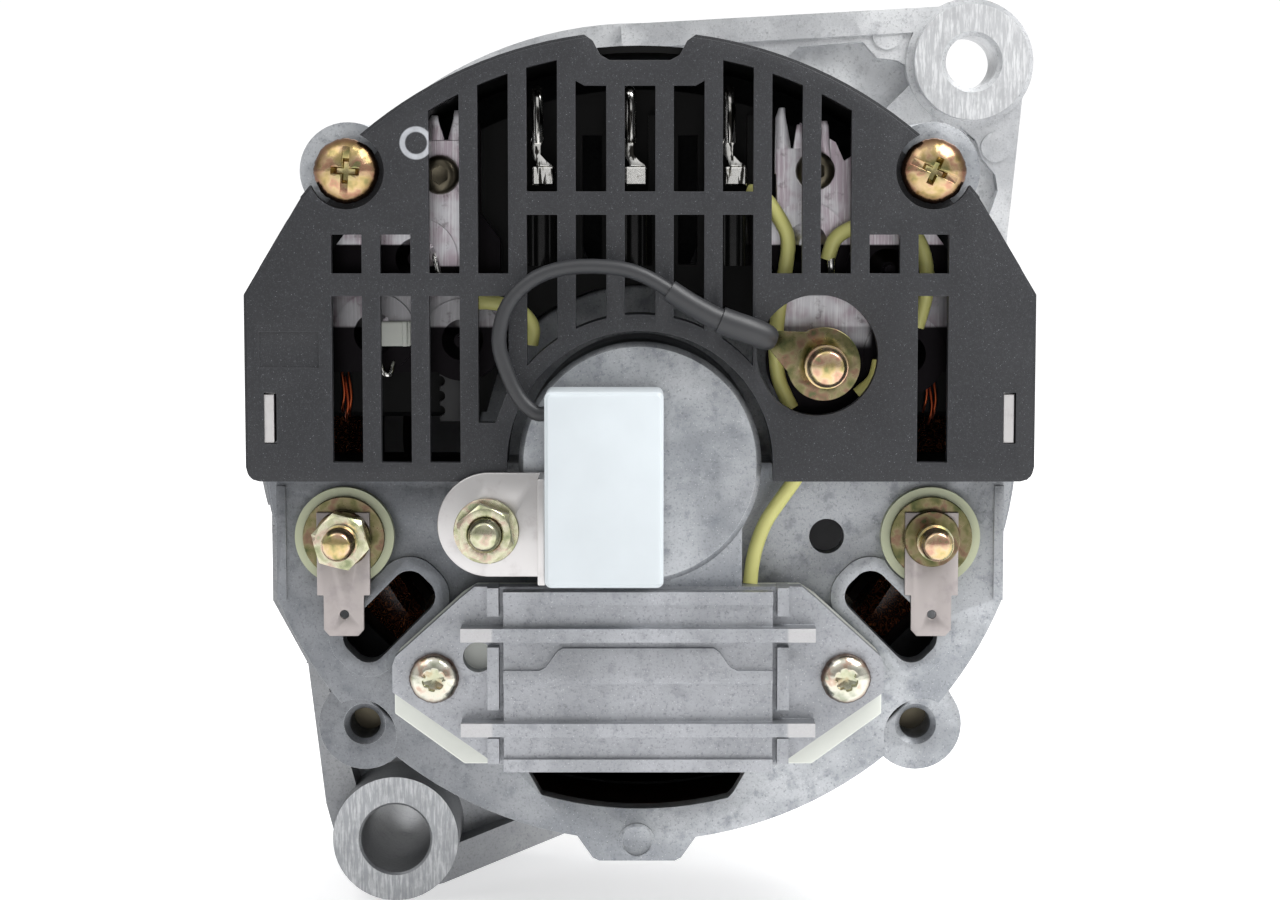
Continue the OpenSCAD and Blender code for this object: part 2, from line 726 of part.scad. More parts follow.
// Point on one of the cover's two lower corners
cover_corner_r = 2.2;
function corner_point(side, a) =
  [side * (cover_half - cover_corner_r), cover_bottom_z + cover_corner_r]
  + cover_corner_r * [cos(a), sin(a)];
module cover_outline_2d() {
  difference() {
    union() {
      intersection() {
        circle(r = cover_r, $fn = 128);
        polygon([
          for (a = [180 : 30 : 270]) corner_point(-1, a),
          for (a = [-90 : 30 : 0]) corner_point(1, a),
          [cover_half, shoulder_z], [shoulder_x, shoulder_top_z], [shoulder_x, 80],
          [-shoulder_x, 80], [-shoulder_x, shoulder_top_z], [-cover_half, shoulder_z]]);
      }
    }
    notch_2d();
    for (sx = [-1, 1]) translate([sx * bolt_xy, bolt_xy]) {
      circle(r = screw_recess_r);
      rotate(sx > 0 ? 45 : 135) translate([0, 0.4 - screw_recess_r]) square([20, 2 * screw_recess_r - 0.8]);
    }
    circle(r = dome_opening_r);
    translate([-dome_opening_r, -20]) square([2 * dome_opening_r, 20]);
    translate([27, 16.6]) circle(r = out_opening_r);
  }
}

module column_2d(k, z0, z1) {
  translate([k * win_pitch - win_w / 2, z0]) square([win_w, z1 - z0]);
}

module windows_2d() {
  difference() {
    intersection() {
      circle(r = window_r, $fn = 128);
      union() {
        for (k = [-2 : 2]) {
          column_2d(k, row_bar_z[1], 80);
          column_2d(k, 10, row_bar_z[0]);
        }
        for (k = [-4, -3, 3, 4]) column_2d(k, row_small_z[0], 80);
        for (k = [-6, -5, 5, 6]) column_2d(k, row_small_z[0], row_small_z[1]);
        for (k = [-6, -5, -4, 6]) column_2d(k, row_low_z, row_mid_z);
        intersection() {
          column_2d(-3, 6.3, row_mid_z);
          polygon([[-30, 0], [-22.2, 6], [-19, 14.2], [-19, 30], [-30, 30]]);
        }
      }
    }
    circle(r = dome_rim_r);
    notch_2d(3.8);
  }
}

// Room for the upper lugs inside the cover's walls
module lug_room_2d() {
  for (sx = [-1, 1]) translate([sx * bolt_xy, bolt_xy]) circle(r = lug_r + 0.8);
}

module side_slots_2d() {
  for (sx = [-1, 1]) translate([sx * 56.3, 7]) square([1.9, 7.8], center = true);
}

module rear_cover() color([0.14, 0.145, 0.155]) {
  difference() {
    union() {
      slab(0.5, cover_t) difference() {
        cover_outline_2d();
        windows_2d();
        side_slots_2d();
      }
      slab(0, 0.5) difference() {
        intersection() {
          cover_outline_2d();
          circle(r = cover_r - 0.5, $fn = 128);
          square([2 * cover_half - 1, 200], center = true);
        }
        windows_2d();
        side_slots_2d();
      }
      // Side walls round the rectifier
      slab(cover_t - 0.2, cover_depth) difference() {
        cover_outline_2d();
        circle(r = cover_r - 2, $fn = 128);
        translate([-80, -40]) square([160, 80]);
        lug_room_2d();
      }
      slab(cover_t - 0.2, cover_depth) for (sx = [-1, 1]) intersection() {
        cover_outline_2d();
        difference() {
          polygon([
            [sx * cover_half, cover_bottom_z], [sx * cover_half, shoulder_z],
            [sx * shoulder_x, shoulder_top_z], [sx * (shoulder_x - 1.8), shoulder_top_z - 1],
            [sx * (cover_half - 2), shoulder_z - 0.6], [sx * (cover_half - 2), cover_bottom_z]]);
          lug_room_2d();
        }
      }
      // Lower edge, short of the bracket's main face
      slab(cover_t - 0.2, main_d - 0.4) difference() {
        intersection() {
          cover_outline_2d();
          translate([-80, cover_bottom_z]) square([160, 1.8]);
        }
        translate([-22.3, -10]) square([50, 20]);
      }
      // Rim round the bearing dome
      slab(cover_t - 0.2, 8) difference() {
        circle(r = dome_rim_r);
        circle(r = dome_opening_r);
        translate([-40, -40]) square([80, 40]);
      }
      // Tabs under the two screws
      for (sx = [-1, 1]) slab(screw_seat_d, screw_seat_d + 2) intersection() {
        translate([sx * bolt_xy, bolt_xy]) circle(r = screw_recess_r + 2.6);
        union() {
          translate([sx * bolt_xy, bolt_xy]) circle(r = 4.8);
          translate([sx * bolt_xy, bolt_xy]) rotate(sx > 0 ? 225 : -45)
            translate([1.2, -10]) square([10, 20]);
        }
      }
    }
    for (sx = [-1, 1]) rod(-1, 8, bolt_r + 0.15, sx * bolt_xy, bolt_xy);
    // Shallow panel at the left
    slab(-1, panel_depth) translate([-57.9, 14.7]) square([9.1, 5.5]);
  }
}
screw_seat_d = cover_screw_floor - 2;

module cover_screws() color([0.75, 0.62, 0.35]) {
  corners([1]) {
    difference() {
      union() {
        rod(screw_seat_d - 1.6, screw_seat_d, 4.9);
        taper(screw_seat_d - 4, screw_seat_d - 1.6, 2.6, 4.9);
      }
      rotate([0, 15, 0]) slab(screw_seat_d - 5, screw_seat_d - 2.6) {
        square([1.1, 6.4], center = true);
        square([6.4, 1.1], center = true);
      }
      rotate([0, 15, 0]) slab(screw_seat_d - 5, screw_seat_d - 3) square([1.1, 12], center = true);
    }
    rod(screw_seat_d - 0.5, lug_d + 3, bolt_r);
  }
}

// Rectifier
rect_plate_d = 8.4;
rect_plate_end = 10.8;
function polar(r, a) = [r * cos(a), r * sin(a)];
rectifier_posts = [
  polar(body_r - 7.7, 125), polar(body_r - 9.3, 58.8), [5.4 - flat_half, 15.6],
  [flat_half - 5.4, 15.6]
];
diode_r = 6.35;
negative_diodes = [
  polar(body_r - 28.2, 146), polar(body_r - 15.9, 154.6), polar(body_r - 14.9, 138)
];
positive_diodes = [
  polar(body_r - 13.1, 37.6), polar(body_r - 17.2, 21.6), polar(body_r - 19.2, 52.5)
];

module plate_sector_2d(sx) {
  difference() {
    intersection() {
      circle(r = body_r - 3.9, $fn = 96);
      polygon([[sx * 21.6, 20], [sx * 25, 13.5], [sx * 57, 13.5], [sx * 57, 26], [sx * 36, 60],
               [sx * 33, 60], [sx * 33, 47], [sx * 31.4, 46], [sx * 29.6, 50], [sx * 28, 60],
               [sx * 24.6, 60], [sx * 24.6, 38], [sx * 21.6, 34]]);
    }
    circle(r = 24);
    translate([sx * bolt_xy, bolt_xy]) circle(r = lug_r + 0.8);
    translate([sx * 47.6, 27.6]) square([8, 2.2], center = true);
  }
}

module rectifier_plate_negative() color([0.72, 0.70, 0.72]) {
  difference() {
    slab(rect_plate_d, rect_plate_end) plate_sector_2d(-1);
    for (p = [rectifier_posts[0], rectifier_posts[2]]) rod(0, 20, 2.2, p[0], p[1]);
    for (p = negative_diodes) rod(0, 20, diode_r, p[0], p[1]);
  }
}

module rectifier_plate_positive() color([0.72, 0.70, 0.72]) {
  difference() {
    union() {
      slab(rect_plate_d, rect_plate_end) difference() {
        plate_sector_2d(1);
        translate([out_x, out_z]) circle(r = 8);
      }
      slab(rect_plate_d, rect_plate_end) translate([out_x, out_z]) circle(r = 8.4);
    }
    for (p = [rectifier_posts[1], rectifier_posts[3]]) rod(0, 20, 2.2, p[0], p[1]);
    for (p = positive_diodes) rod(0, 20, diode_r, p[0], p[1]);
    rod(0, 20, out_stud_r, out_x, out_z);
    rod(0, 20, dome_r + 0.8);
  }
}

module power_diodes() color([0.5, 0.48, 0.46]) {
  for (p = concat(negative_diodes, positive_diodes)) {
    rod(rect_plate_d - 0.6, rect_plate_end + 5, diode_r, p[0], p[1]);
    taper(rect_plate_d - 2.2, rect_plate_d - 0.6, 1.2, 3.2, p[0], p[1]);
    rod(rect_plate_d - 4.4, rect_plate_d - 2.2, 0.8, p[0], p[1]);
  }
}

strip_d = 11.4;
strip_feet_x = [-15.4, 15.4];
strip_foot_z = 47;
strip_half = 18.6;
strip_end = 15;
wing_d = 12;
wing_end = 14;
wing_low_z = 7;
// Side wing of the strip, behind one rectifier plate
module strip_wing_2d(sx, posts, diodes) {
  difference() {
    intersection() {
      circle(r = body_r - 4.8, $fn = 96);
      polygon([
        [sx * (strip_half - 1), 30], [sx * 24, wing_low_z], [sx * 56, wing_low_z], [sx * 56, 26],
        [sx * 36, 60], [sx * (strip_half - 1), 60]]);
    }
    circle(r = 24.6);
    translate([sx * bolt_xy, bolt_xy]) circle(r = lug_r + 0.8);
    for (p = posts) translate(p) circle(r = 3.7);
    for (p = diodes) translate(p) circle(r = diode_r + 0.2);
    if (sx > 0) translate([out_x, out_z]) circle(r = 6.9);
  }
}
module terminal_strip() color([0.10, 0.09, 0.09]) {
  difference() {
    union() {
      slab(strip_d, strip_end) difference() {
        intersection() {
          circle(r = body_r - 4.3, $fn = 96);
          translate([-strip_half, 22]) square([2 * strip_half, 38]);
        }
        circle(r = 27);
        for (x = [-7.4, 7.4]) translate([x, 40]) square([3, 20], center = true);
      }
      // Wings behind the two rectifier plates
      slab(wing_d, wing_end) {
        strip_wing_2d(-1, [rectifier_posts[0], rectifier_posts[2]], negative_diodes);
        strip_wing_2d(1, [rectifier_posts[1], rectifier_posts[3]], positive_diodes);
      }
      // Towers beside the three phase terminals
      for (p = phase_x) slab(rect_plate_d, strip_end) {
        translate([p - 3.6, 41]) square([1.3, 12]);
        translate([p + 2.3, 41]) square([1.3, 12]);
      }
      // Feet on the recessed wall
      for (x = strip_feet_x) rod(strip_d, recess_d, 2.8, x, strip_foot_z);
    }
  }
}

phase_x = [-15.2, -1.0, 14.2];
module phase_terminals() color([0.85, 0.84, 0.8]) {
  for (x = phase_x) {
    slab(6.4, 7.4) translate([x - 1.1, 43.6]) square([2.2, 11.6]);
    slab(4.6, 9) translate([x - 2.1, 41.2]) square([4.2, 3]);
    slab(7.4, strip_d) translate([x - 1.1, 54]) square([2.2, 1.2]);
    slab(9, strip_d) translate([x - 1, 42]) square([2, 1.4]);
  }
}

module exciter_diodes() color([0.08, 0.08, 0.09]) {
  for (x = phase_x) {
    translate([x, rect_plate_d - groove_d, 30]) cylinder(h = 8.6, r = 2.9);
    translate([x, rect_plate_d - groove_d, 38.6]) cylinder(h = 2.6, r = 0.5);
  }
}

module rectifier_screws() color([0.3, 0.27, 0.2]) {
  for (p = rectifier_posts) {
    difference() {
      rod(rect_plate_d - 3, rect_plate_d, 3, p[0], p[1]);
      rod(rect_plate_d - 4, rect_plate_d - 1.2, 1.5, p[0], p[1], fn = 6);
    }
    rod(rect_plate_d, recess_d + 2, 2, p[0], p[1]);
  }
}

module output_stud() color([0.78, 0.68, 0.42]) {
  stud(out_nut_d - 3.4, recess_d + plate_t + 1.5, out_stud_r, out_x, out_z);
  rod(recess_d + plate_t + 1.5, recess_d + plate_t + 5, 5, out_x, out_z, fn = 6);
}

module output_insulator() color([0.8, 0.8, 0.66]) {
  difference() {
    rod(rect_plate_end, recess_d, 6.6, out_x, out_z);
    rod(0, 40, out_stud_r, out_x, out_z);
  }
  difference() {
    rod(recess_d + plate_t, recess_d + plate_t + 1.5, 6.6, out_x, out_z);
    rod(0, 40, out_stud_r, out_x, out_z);
  }
}

module output_nut() color([0.8, 0.66, 0.36]) {
  hex_nut(out_nut_d, out_nut_d + 5, 10, out_stud_r, out_x, out_z, 12);
  difference() {
    union() {
      taper(out_nut_d + 4.6, out_nut_d + 5.4, 5.4, 5.9, out_x, out_z);
      rod(out_nut_d + 5.4, out_nut_d + 6, 5.9, out_x, out_z);
    }
    rod(-20, 40, out_stud_r, out_x, out_z);
  }
  difference() {
    rod(lead_ring_end, rect_plate_d, 5.2, out_x, out_z);
    rod(-20, 40, out_stud_r, out_x, out_z);
  }
}

// Blade terminals
post_xs = [left_post_x, right_post_x];
insulator_d = main_d - insulator_t;
washer_d = insulator_d - washer_t;
blade_d = washer_d - blade_t;
lock_d = blade_d - 1;
module terminal_insulators() color([0.78, 0.80, 0.62]) {
  for (x = post_xs) difference() {
    union() {
      rod(insulator_d, main_d, insulator_r, x, post_z);
      rod(main_d, main_d + plate_t, 3.4, x, post_z);
      rod(main_d + plate_t, main_d + plate_t + 2, 6, x, post_z);
    }
    rod(0, 30, stud_r, x, post_z);
  }
}
module terminal_washers() color([0.74, 0.66, 0.45]) {
  for (x = post_xs) {
    difference() {
      rod(washer_d, insulator_d, 6.4, x, post_z);
      rod(0, 30, stud_r, x, post_z);
    }
    difference() {
      rod(lock_d, blade_d, 4.4, x, post_z);
      rod(0, 30, stud_r, x, post_z);
    }
  }
}
module blade(x) {
  difference() {
    slab(blade_d, washer_d) {
      translate([x - 4.15, post_z - 9]) square([8.3, 13]);
      translate([x, post_z]) polygon([
        [-blade_w / 2, -9], [-blade_w / 2, -14.4], [-blade_w / 2 + 0.9, -15.4],
        [blade_w / 2 - 0.9, -15.4], [blade_w / 2, -14.4], [blade_w / 2, -9]]);
    }
    rod(0, 30, stud_r, x, post_z);
    rod(0, 30, 0.7, x + 0.1, post_z - 12);
  }
}
module left_blade() color([0.82, 0.80, 0.78]) blade(left_post_x);
module right_blade() color([0.82, 0.80, 0.78]) blade(right_post_x);
module terminal_nuts() color([0.72, 0.64, 0.42]) {
  for (x = post_xs) hex_nut(lock_d - nut_t, lock_d, 8, stud_r, x, post_z, 14);
}
module terminal_studs() color([0.74, 0.62, 0.40]) {
  for (x = post_xs) {
    stud(post_tip_d, main_d + plate_t + 2, stud_r, x, post_z);
    rod(main_d + plate_t + 2, main_d + plate_t + 5, 4, x, post_z, fn = 6);
  }
}

// Interference capacitor on its bracket
cap_boss_d = -0.1;
cap_x0 = -14.2;
cap_z0 = -17.4;
cap_plate_t = 1.1;
cap_d = cap_boss_d - cap_plate_t - cap_t;
cap_tab_r = 8;
cap_tab_z = -9.2;
module capacitor_case() color([0.87, 0.90, 0.91]) {
  slab(cap_d + 0.5, cap_d + cap_t) translate([cap_x0 + cap_w / 2, cap_z0 + cap_h / 2])
    round_box_2d(cap_w, cap_h, 1);
  slab(cap_d, cap_d + 0.5) translate([cap_x0 + cap_w / 2, cap_z0 + cap_h / 2])
    round_box_2d(cap_w - 0.8, cap_h - 0.8, 0.7);
}
module capacitor_bracket() color([0.86, 0.85, 0.83]) {
  difference() {
    slab(cap_boss_d - cap_plate_t, cap_boss_d) {
      translate([cap_stud_x + 0.5, cap_tab_z]) circle(r = cap_tab_r);
      translate([cap_stud_x + 0.5, cap_tab_z - cap_tab_r]) square([15, 2 * cap_tab_r]);
    }
    rod(cap_boss_d - 3, cap_boss_d + 1, stud_r, cap_stud_x, cap_stud_z);
  }
  difference() {
    slab(cap_d + 1.6, cap_boss_d) translate([cap_x0 - cap_plate_t, cap_tab_z - cap_tab_r])
      square([cap_plate_t, 2 * cap_tab_r]);
    translate([cap_x0 - 5, cap_d + 3 - groove_d, -12.8]) cube([10, 5, 7.2]);
  }
}
module capacitor_stud() color([0.7, 0.62, 0.4]) {
  stud(cap_boss_d - 8.4, main_d + plate_t, stud_r, cap_stud_x, cap_stud_z);
}
cap_nut_d = cap_boss_d - cap_plate_t;
module capacitor_nut() color([0.78, 0.76, 0.6]) {
  difference() {
    rod(cap_nut_d - 0.8, cap_nut_d, 5, cap_stud_x, cap_stud_z);
    rod(-10, 30, stud_r, cap_stud_x, cap_stud_z);
  }
  hex_nut(cap_nut_d - 0.8 - nut_t, cap_nut_d - 0.8, 8, stud_r, cap_stud_x, cap_stud_z, 20);
}

// Capacitor lead, from the case to the ring under the output nut
lead_d = -3;
lead_r = 1.15;
lead_points = [
  [cap_x0 - 0.05, lead_d, 8], [-15.9, lead_d, 8.1], [-18.4, lead_d, 10.6], [-20.4, lead_d, 15],
  [-21.3, lead_d, 19], [-20.4, lead_d, 23.4], [-18, lead_d, 26.8], [-14.2, lead_d, 29.2],
  [-9, lead_d, 30.2], [-3, lead_d - 0.2, 29.9], [1, lead_d - 0.3, 28.6],
  [4.4, lead_d - 0.4, 26.6]
];
sleeve_points = [
  [4.4, lead_d - 0.4, 26.6], [8, lead_d - 0.4, 24.3], [12, lead_d - 0.3, 22.2],
  [16.4, lead_d, 20.6], [20.2, lead_d + 1.3, 19]
];
module capacitor_lead() color([0.12, 0.12, 0.13]) tube(spline_path(lead_points, 5), lead_r);
module lead_sleeve() color([0.2, 0.2, 0.22]) {
  tube(spline_path([for (i = [0 : 2]) sleeve_points[i]], 4), 1.75, 12);
  tube(spline_path([for (i = [2 : 4]) sleeve_points[i]], 4), 2.1, 12);
}
module lead_ring() color([0.8, 0.76, 0.6]) {
  difference() {
    union() {
      rod(lead_ring_d, lead_ring_end, 5.6, out_x, out_z);
      slab(lead_ring_d, lead_ring_end) polygon([
        [19.6, 17.6], [21, 20.3], [25.4, 20.2], [23, 13.4]]);
    }
    rod(-20, 40, out_stud_r, out_x, out_z);
  }
}

// Regulator: finned heat sink on a nylon base with the brush holder behind
reg_mid_x = -0.3;
reg_shoulder = 27.4;
reg_side = 38;
reg_side_z = [-31.6, -38.8];
reg_low_half = 21.4;
reg_low_z = reg_top_z - 27.5;
reg_face_d = 0.8;
reg_rib_d = -0.2;
rib_w = 2;
fin_w = 2.1;
fin_half = 27.2;
fin_zs = [-26.25, -40.95];
step_rib_z = [-33.9, -31.9, -28.4];
step_half = [11.6, 14.2];

module reg_outline_2d(top_z, side, side_z, low_half, low_z) {
  translate([reg_mid_x, 0]) polygon([
    [-reg_shoulder + 2.2, top_z], [-reg_shoulder, reg_top_z - 1.4],
    [-side + 0.5, side_z[0] + 1.4], [-side, side_z[0]], [-side, side_z[1]],
    [-low_half, low_z], [low_half, low_z], [side, side_z[1]], [side, side_z[0]],
    [side - 0.5, side_z[0] + 1.4], [reg_shoulder, reg_top_z - 1.4],
    [reg_shoulder - 2.2, top_z]]);
}
// Low rib whose upper edge steps up to a plateau in the middle
module step_rib_2d() {
  polygon([
    [-reg_half, step_rib_z[0]], [-reg_half, step_rib_z[1]], [-step_half[1] - 1, step_rib_z[1]],
    [-step_half[1], step_rib_z[1] + 0.5], [-step_half[0] - 0.8, step_rib_z[2] - 0.5],
    [-step_half[0], step_rib_z[2]], [step_half[0], step_rib_z[2]],
    [step_half[0] + 0.8, step_rib_z[2] - 0.5], [step_half[1], step_rib_z[1] + 0.5],
    [step_half[1] + 1, step_rib_z[1]], [reg_half, step_rib_z[1]], [reg_half, step_rib_z[0]]]);
}
module regulator_heatsink() color([0.58, 0.60, 0.63]) {
  difference() {
    union() {
      slab(reg_flange_d, reg_flange_end)
        reg_outline_2d(reg_top_z + 0.4, reg_side, reg_side_z, reg_low_half, reg_low_z);
      translate([reg_mid_x, 0, 0]) {
        slab(reg_face_d, reg_flange_end) translate([-reg_half, reg_top_z - reg_h])
          square([2 * reg_half, reg_h]);
        // Two tall fins whose ends stand out past the block
        for (z = fin_zs) slab(reg_fin_d + 0.6, reg_flange_end) translate([0, z])
          square([2 * fin_half, fin_w], center = true);
        // Low ribs along the top and bottom edges and the stepped one between the fins
        for (z = [reg_top_z - rib_w / 2, reg_top_z - reg_h + rib_w / 2])
          slab(reg_rib_d, reg_face_d + 0.1) translate([0, z])
            square([2 * reg_half, rib_w], center = true);
        slab(reg_rib_d, reg_face_d + 0.1) step_rib_2d();
        // Posts beside the block, cut short of the fins
        for (sx = [-1, 1], z = [[-19.2, -23.6], [-28.4, -38.2], [-42.6, -46.6]])
          slab(reg_face_d - 0.2, reg_flange_end)
            translate([sx * (reg_half + 1.6) - 0.9, z[1]]) square([1.8, z[0] - z[1]]);
      }
    }
    for (sx = [-1, 1]) rod(-5, 20, 2.1, sx * reg_screw_x, reg_screw_z);
    rod(reg_flange_d - 1, reg_flange_end + 1, 2.35, -25, -30.3);
  }
}
base_side = 37.9;
base_side_z = [-31.6, -42];
base_low_half = 24.5;
base_low_z = -50;
module regulator_base() color([0.86, 0.87, 0.80]) {
  difference() {
    slab(reg_flange_end, reg_base_end)
      reg_outline_2d(reg_top_z, base_side, base_side_z, base_low_half, base_low_z);
    for (sx = [-1, 1]) rod(-5, 20, 2.1, sx * reg_screw_x, reg_screw_z);
  }
}
module regulator_screws() color([0.76, 0.74, 0.62]) {
  for (sx = [-1, 1]) {
    difference() {
      union() {
        rod(reg_flange_d - 1.2, reg_flange_d, 3.85, sx * reg_screw_x, reg_screw_z);
        taper(reg_flange_d - 2.8, reg_flange_d - 1.2, 2.4, 3.85, sx * reg_screw_x, reg_screw_z);
      }
      rod(reg_flange_d - 4, reg_flange_d - 1.4, 1.6, sx * reg_screw_x, reg_screw_z, fn = 6);
    }
    rod(reg_flange_d, main_d + plate_t - 0.5, 2, sx * reg_screw_x, reg_screw_z);
  }
}
module brush_holder() color([0.16, 0.15, 0.15]) {
  difference() {
    union() {
      slab(reg_base_end, holder_end) translate([-7.5, holder_floor_z - holder_wall])
        square([15, -bearing_wall_r - 3 - holder_floor_z + holder_wall]);
      slab(rear_bearing_end + 2.5, holder_end) translate([-7.5, -bearing_wall_r - 4])
        square([15, holder_top_z + bearing_wall_r + 4]);
    }
    for (d = [ring_1_d, ring_2_d])
      slab(d - brush_t / 2 - brush_gap, d + brush_t / 2 + brush_gap)
        translate([-brush_w / 2 - brush_gap, holder_floor_z])
          square([brush_w + 2 * brush_gap, 40]);
  }
}

// Yellow leads behind the cover and down past the dome
wire_r = 1.15;
wire_routes = [
  [[16.8, 6.4, 41.4], [18.6, 5.4, 40.8], [20.6, 5, 38.4], [22.6, 5.2, 34.4], [22.3, 5.6, 29.4],
   [21.4, 5.6, 24], [20.9, 6, 18], [21.4, 6.6, 12.6], [23.4, 6.8, 8]],
  [[28.8, 6, 31], [30, 5.6, 34.2], [33, 5.4, 36], [37.4, 5.4, 36.8], [41.4, 5.6, 35.6],
   [43.6, 5.6, 31.6], [44, 5.8, 26], [42.6, 6, 20.6]],
  [[-27.2, 6, 24.2], [-23.4, 5.8, 24.4], [-19, 5.8, 23.4], [-16.6, 5.8, 20.8], [-16.8, 6, 17.9]],
  [[33.6, 6, 10.2], [36, 5.8, 12.4], [36.9, 6, 15.4]],
  [[27.4, 7.4, 5.6], [26.2, 8.2, 1.2], [24.4, 8.6, -2.8], [21.8, 8.8, -6.6], [19.6, 9, -10],
   [18.2, 9, -13.6], [17.5, 8.8, -16.8], [17.2, 8.4, -19.6]]
];
module yellow_leads() color([0.80, 0.79, 0.38]) for (p = wire_routes) tube(spline_path(p, 4), wire_r);

// Ball bearings
module race_outer(d0, w, bore_r, out_r, pitch_r, ball_r) {
  turned() difference() {
    translate([bore_r, d0]) square([out_r - bore_r, w]);
    translate([pitch_r, d0 + w / 2]) circle(r = ball_r + race_clear);
  }
}
module cage_with_balls(d0, w, pitch_r, ball_r) {
  difference() {
    turned() translate([pitch_r - ball_r * 0.3, d0 + w / 2 - ball_r * 1.15])
      square([ball_r * 0.6, ball_r * 2.3]);
    around(ball_n) translate([0, d0 + w / 2 - groove_d, pitch_r - ball_r])
      cylinder(h = 2 * ball_r, r = ball_r + race_clear);
  }
  around(ball_n) translate([0, d0 + w / 2 - groove_d, pitch_r]) sphere(r = ball_r);
}
rear_race_r = [rear_pitch_r - rear_ball_r * 0.66, rear_pitch_r + rear_ball_r * 0.66];
front_race_r = [front_pitch_r - front_ball_r * 0.7, front_pitch_r + front_ball_r * 0.7];
module rear_bearing_outer() color([0.6, 0.61, 0.63])
  race_outer(rear_bearing_d, rear_bw, rear_race_r[1], rear_od / 2, rear_pitch_r, rear_ball_r);
module rear_bearing_inner() color([0.6, 0.61, 0.63])
  race_outer(rear_bearing_d, rear_bw, rear_bore / 2, rear_race_r[0], rear_pitch_r, rear_ball_r);
module rear_bearing_cage() color([0.5, 0.5, 0.52])
  cage_with_balls(rear_bearing_d, rear_bw, rear_pitch_r, rear_ball_r);
module front_bearing_outer() color([0.6, 0.61, 0.63])
  race_outer(front_bearing_d, front_bw, front_race_r[1], front_od / 2, front_pitch_r, front_ball_r);
module front_bearing_inner() color([0.6, 0.61, 0.63])
  race_outer(front_bearing_d, front_bw, front_bore / 2, front_race_r[0], front_pitch_r, front_ball_r);
module front_bearing_cage() color([0.5, 0.5, 0.52])
  cage_with_balls(front_bearing_d, front_bw, front_pitch_r, front_ball_r);

retainer_screw_r = front_seat_r + 2.9;
module bearing_retainer() color([0.55, 0.55, 0.56]) difference() {
  union() {
    rod(retainer_d, front_bearing_d, front_seat_r + 1.5);
    around(3) rod(retainer_d, front_bearing_d, 4, 0, retainer_screw_r);
  }
  rod(retainer_d - 1, front_bearing_d + 1, front_seat_r - 4);
  around(3) rod(retainer_d - 1, front_bearing_d + 1, 1.6, 0, retainer_screw_r);
}
module retainer_screws() color([0.6, 0.56, 0.4]) around(3) {
  rod(retainer_d - 2.4, retainer_d, 3, 0, retainer_screw_r);
  rod(retainer_d, front_bearing_d + 5, 1.6, 0, retainer_screw_r);
}

// Rotor
module shaft() color([0.66, 0.67, 0.69]) difference() {
  turned() polygon([
    [0, rear_bearing_d - 0.6], [rear_bore / 2 - 0.6, rear_bearing_d - 0.6],
    [rear_bore / 2, rear_bearing_d], [rear_bore / 2, rear_bearing_end],
    [8, rear_bearing_end], [8, rotor_d], [core_shaft_r, rotor_d], [core_shaft_r, rotor_end],
    [10.5, rotor_end], [10.5, front_bearing_d], [front_bore / 2, front_bearing_d],
    [front_bore / 2, pulley_end], [8, pulley_end], [8, shaft_end - 1.2], [6.8, shaft_end],
    [0, shaft_end]]);
  slab(key_d, key_end) translate([-2, front_bore / 2 - 2.5]) square([4, 6]);
}
key_d = fan_d;
key_end = pulley_end - 3;
module shaft_key() color([0.5, 0.5, 0.5])
  slab(key_d, key_end) translate([-2, front_bore / 2 - 2.5]) square([4, 4.4]);

module claw_pole(root_d, tip_dir) {
  r_in = rotor_r - claw_depth;
  tip_len = rotor_end - rotor_d - 2;
  w_root = PI * rotor_r / claw_n;
  w_tip = w_root * 0.36;
  root_end = root_d + tip_dir * claw_disc_t;
  tip = root_d + tip_dir * tip_len;
  difference() {
    union() {
      rod(min(root_d, root_end), max(root_d, root_end), r_in + 1.5);
      rod(min(root_d, rotor_mid), max(root_d, rotor_mid), core_r);
      around(claw_n) intersection() {
        rotate([0, -30, 0]) turned() polygon([
          [r_in - 3, root_d], [rotor_r - 1, root_d], [rotor_r, root_d + tip_dir],
          [rotor_r, tip - tip_dir], [rotor_r - 1, tip], [rotor_r - 4.2, tip], [r_in, root_end],
          [r_in - 3, root_end]]);
        translate([0, -groove_d, 20]) linear_extrude(40) polygon([
          [-w_root / 2, root_d], [w_root / 2, root_d], [w_root / 2, root_end],
          [w_tip / 2, tip], [-w_tip / 2, tip], [-w_root / 2, root_end]]);
      }
    }
    rod(rotor_d - 1, rotor_end + 1, core_shaft_r);
  }
}
module rear_claw_pole() color([0.35, 0.35, 0.36]) claw_pole(rotor_d, 1);
module front_claw_pole() color([0.35, 0.35, 0.36])
  rotate([0, 180 / claw_n, 0]) claw_pole(rotor_end, -1);
module field_coil() color([0.5, 0.2, 0.08])
  turned() translate([core_r + coil_gap, rotor_d + claw_disc_t + 0.3])
    square([rotor_r - claw_depth - 1.5 - core_r - coil_gap,
            rotor_end - rotor_d - 2 * claw_disc_t - 0.6]);

module slip_ring_hub() color([0.30, 0.16, 0.10]) difference() {
  union() {
    rod(rear_bearing_end + 1, ring_2_d + ring_w / 2 + 2, ring_r - 2.2);
    rod(ring_1_d + ring_w / 2, ring_2_d - ring_w / 2, ring_r - 0.8);
  }
  rod(0, 60, 8);
}
module slip_rings() color([0.72, 0.45, 0.25])
  for (d = [ring_1_d, ring_2_d]) difference() {
    rod(d - ring_w / 2, d + ring_w / 2, ring_r);
    rod(d - ring_w, d + ring_w, ring_r - 2.2);
  }

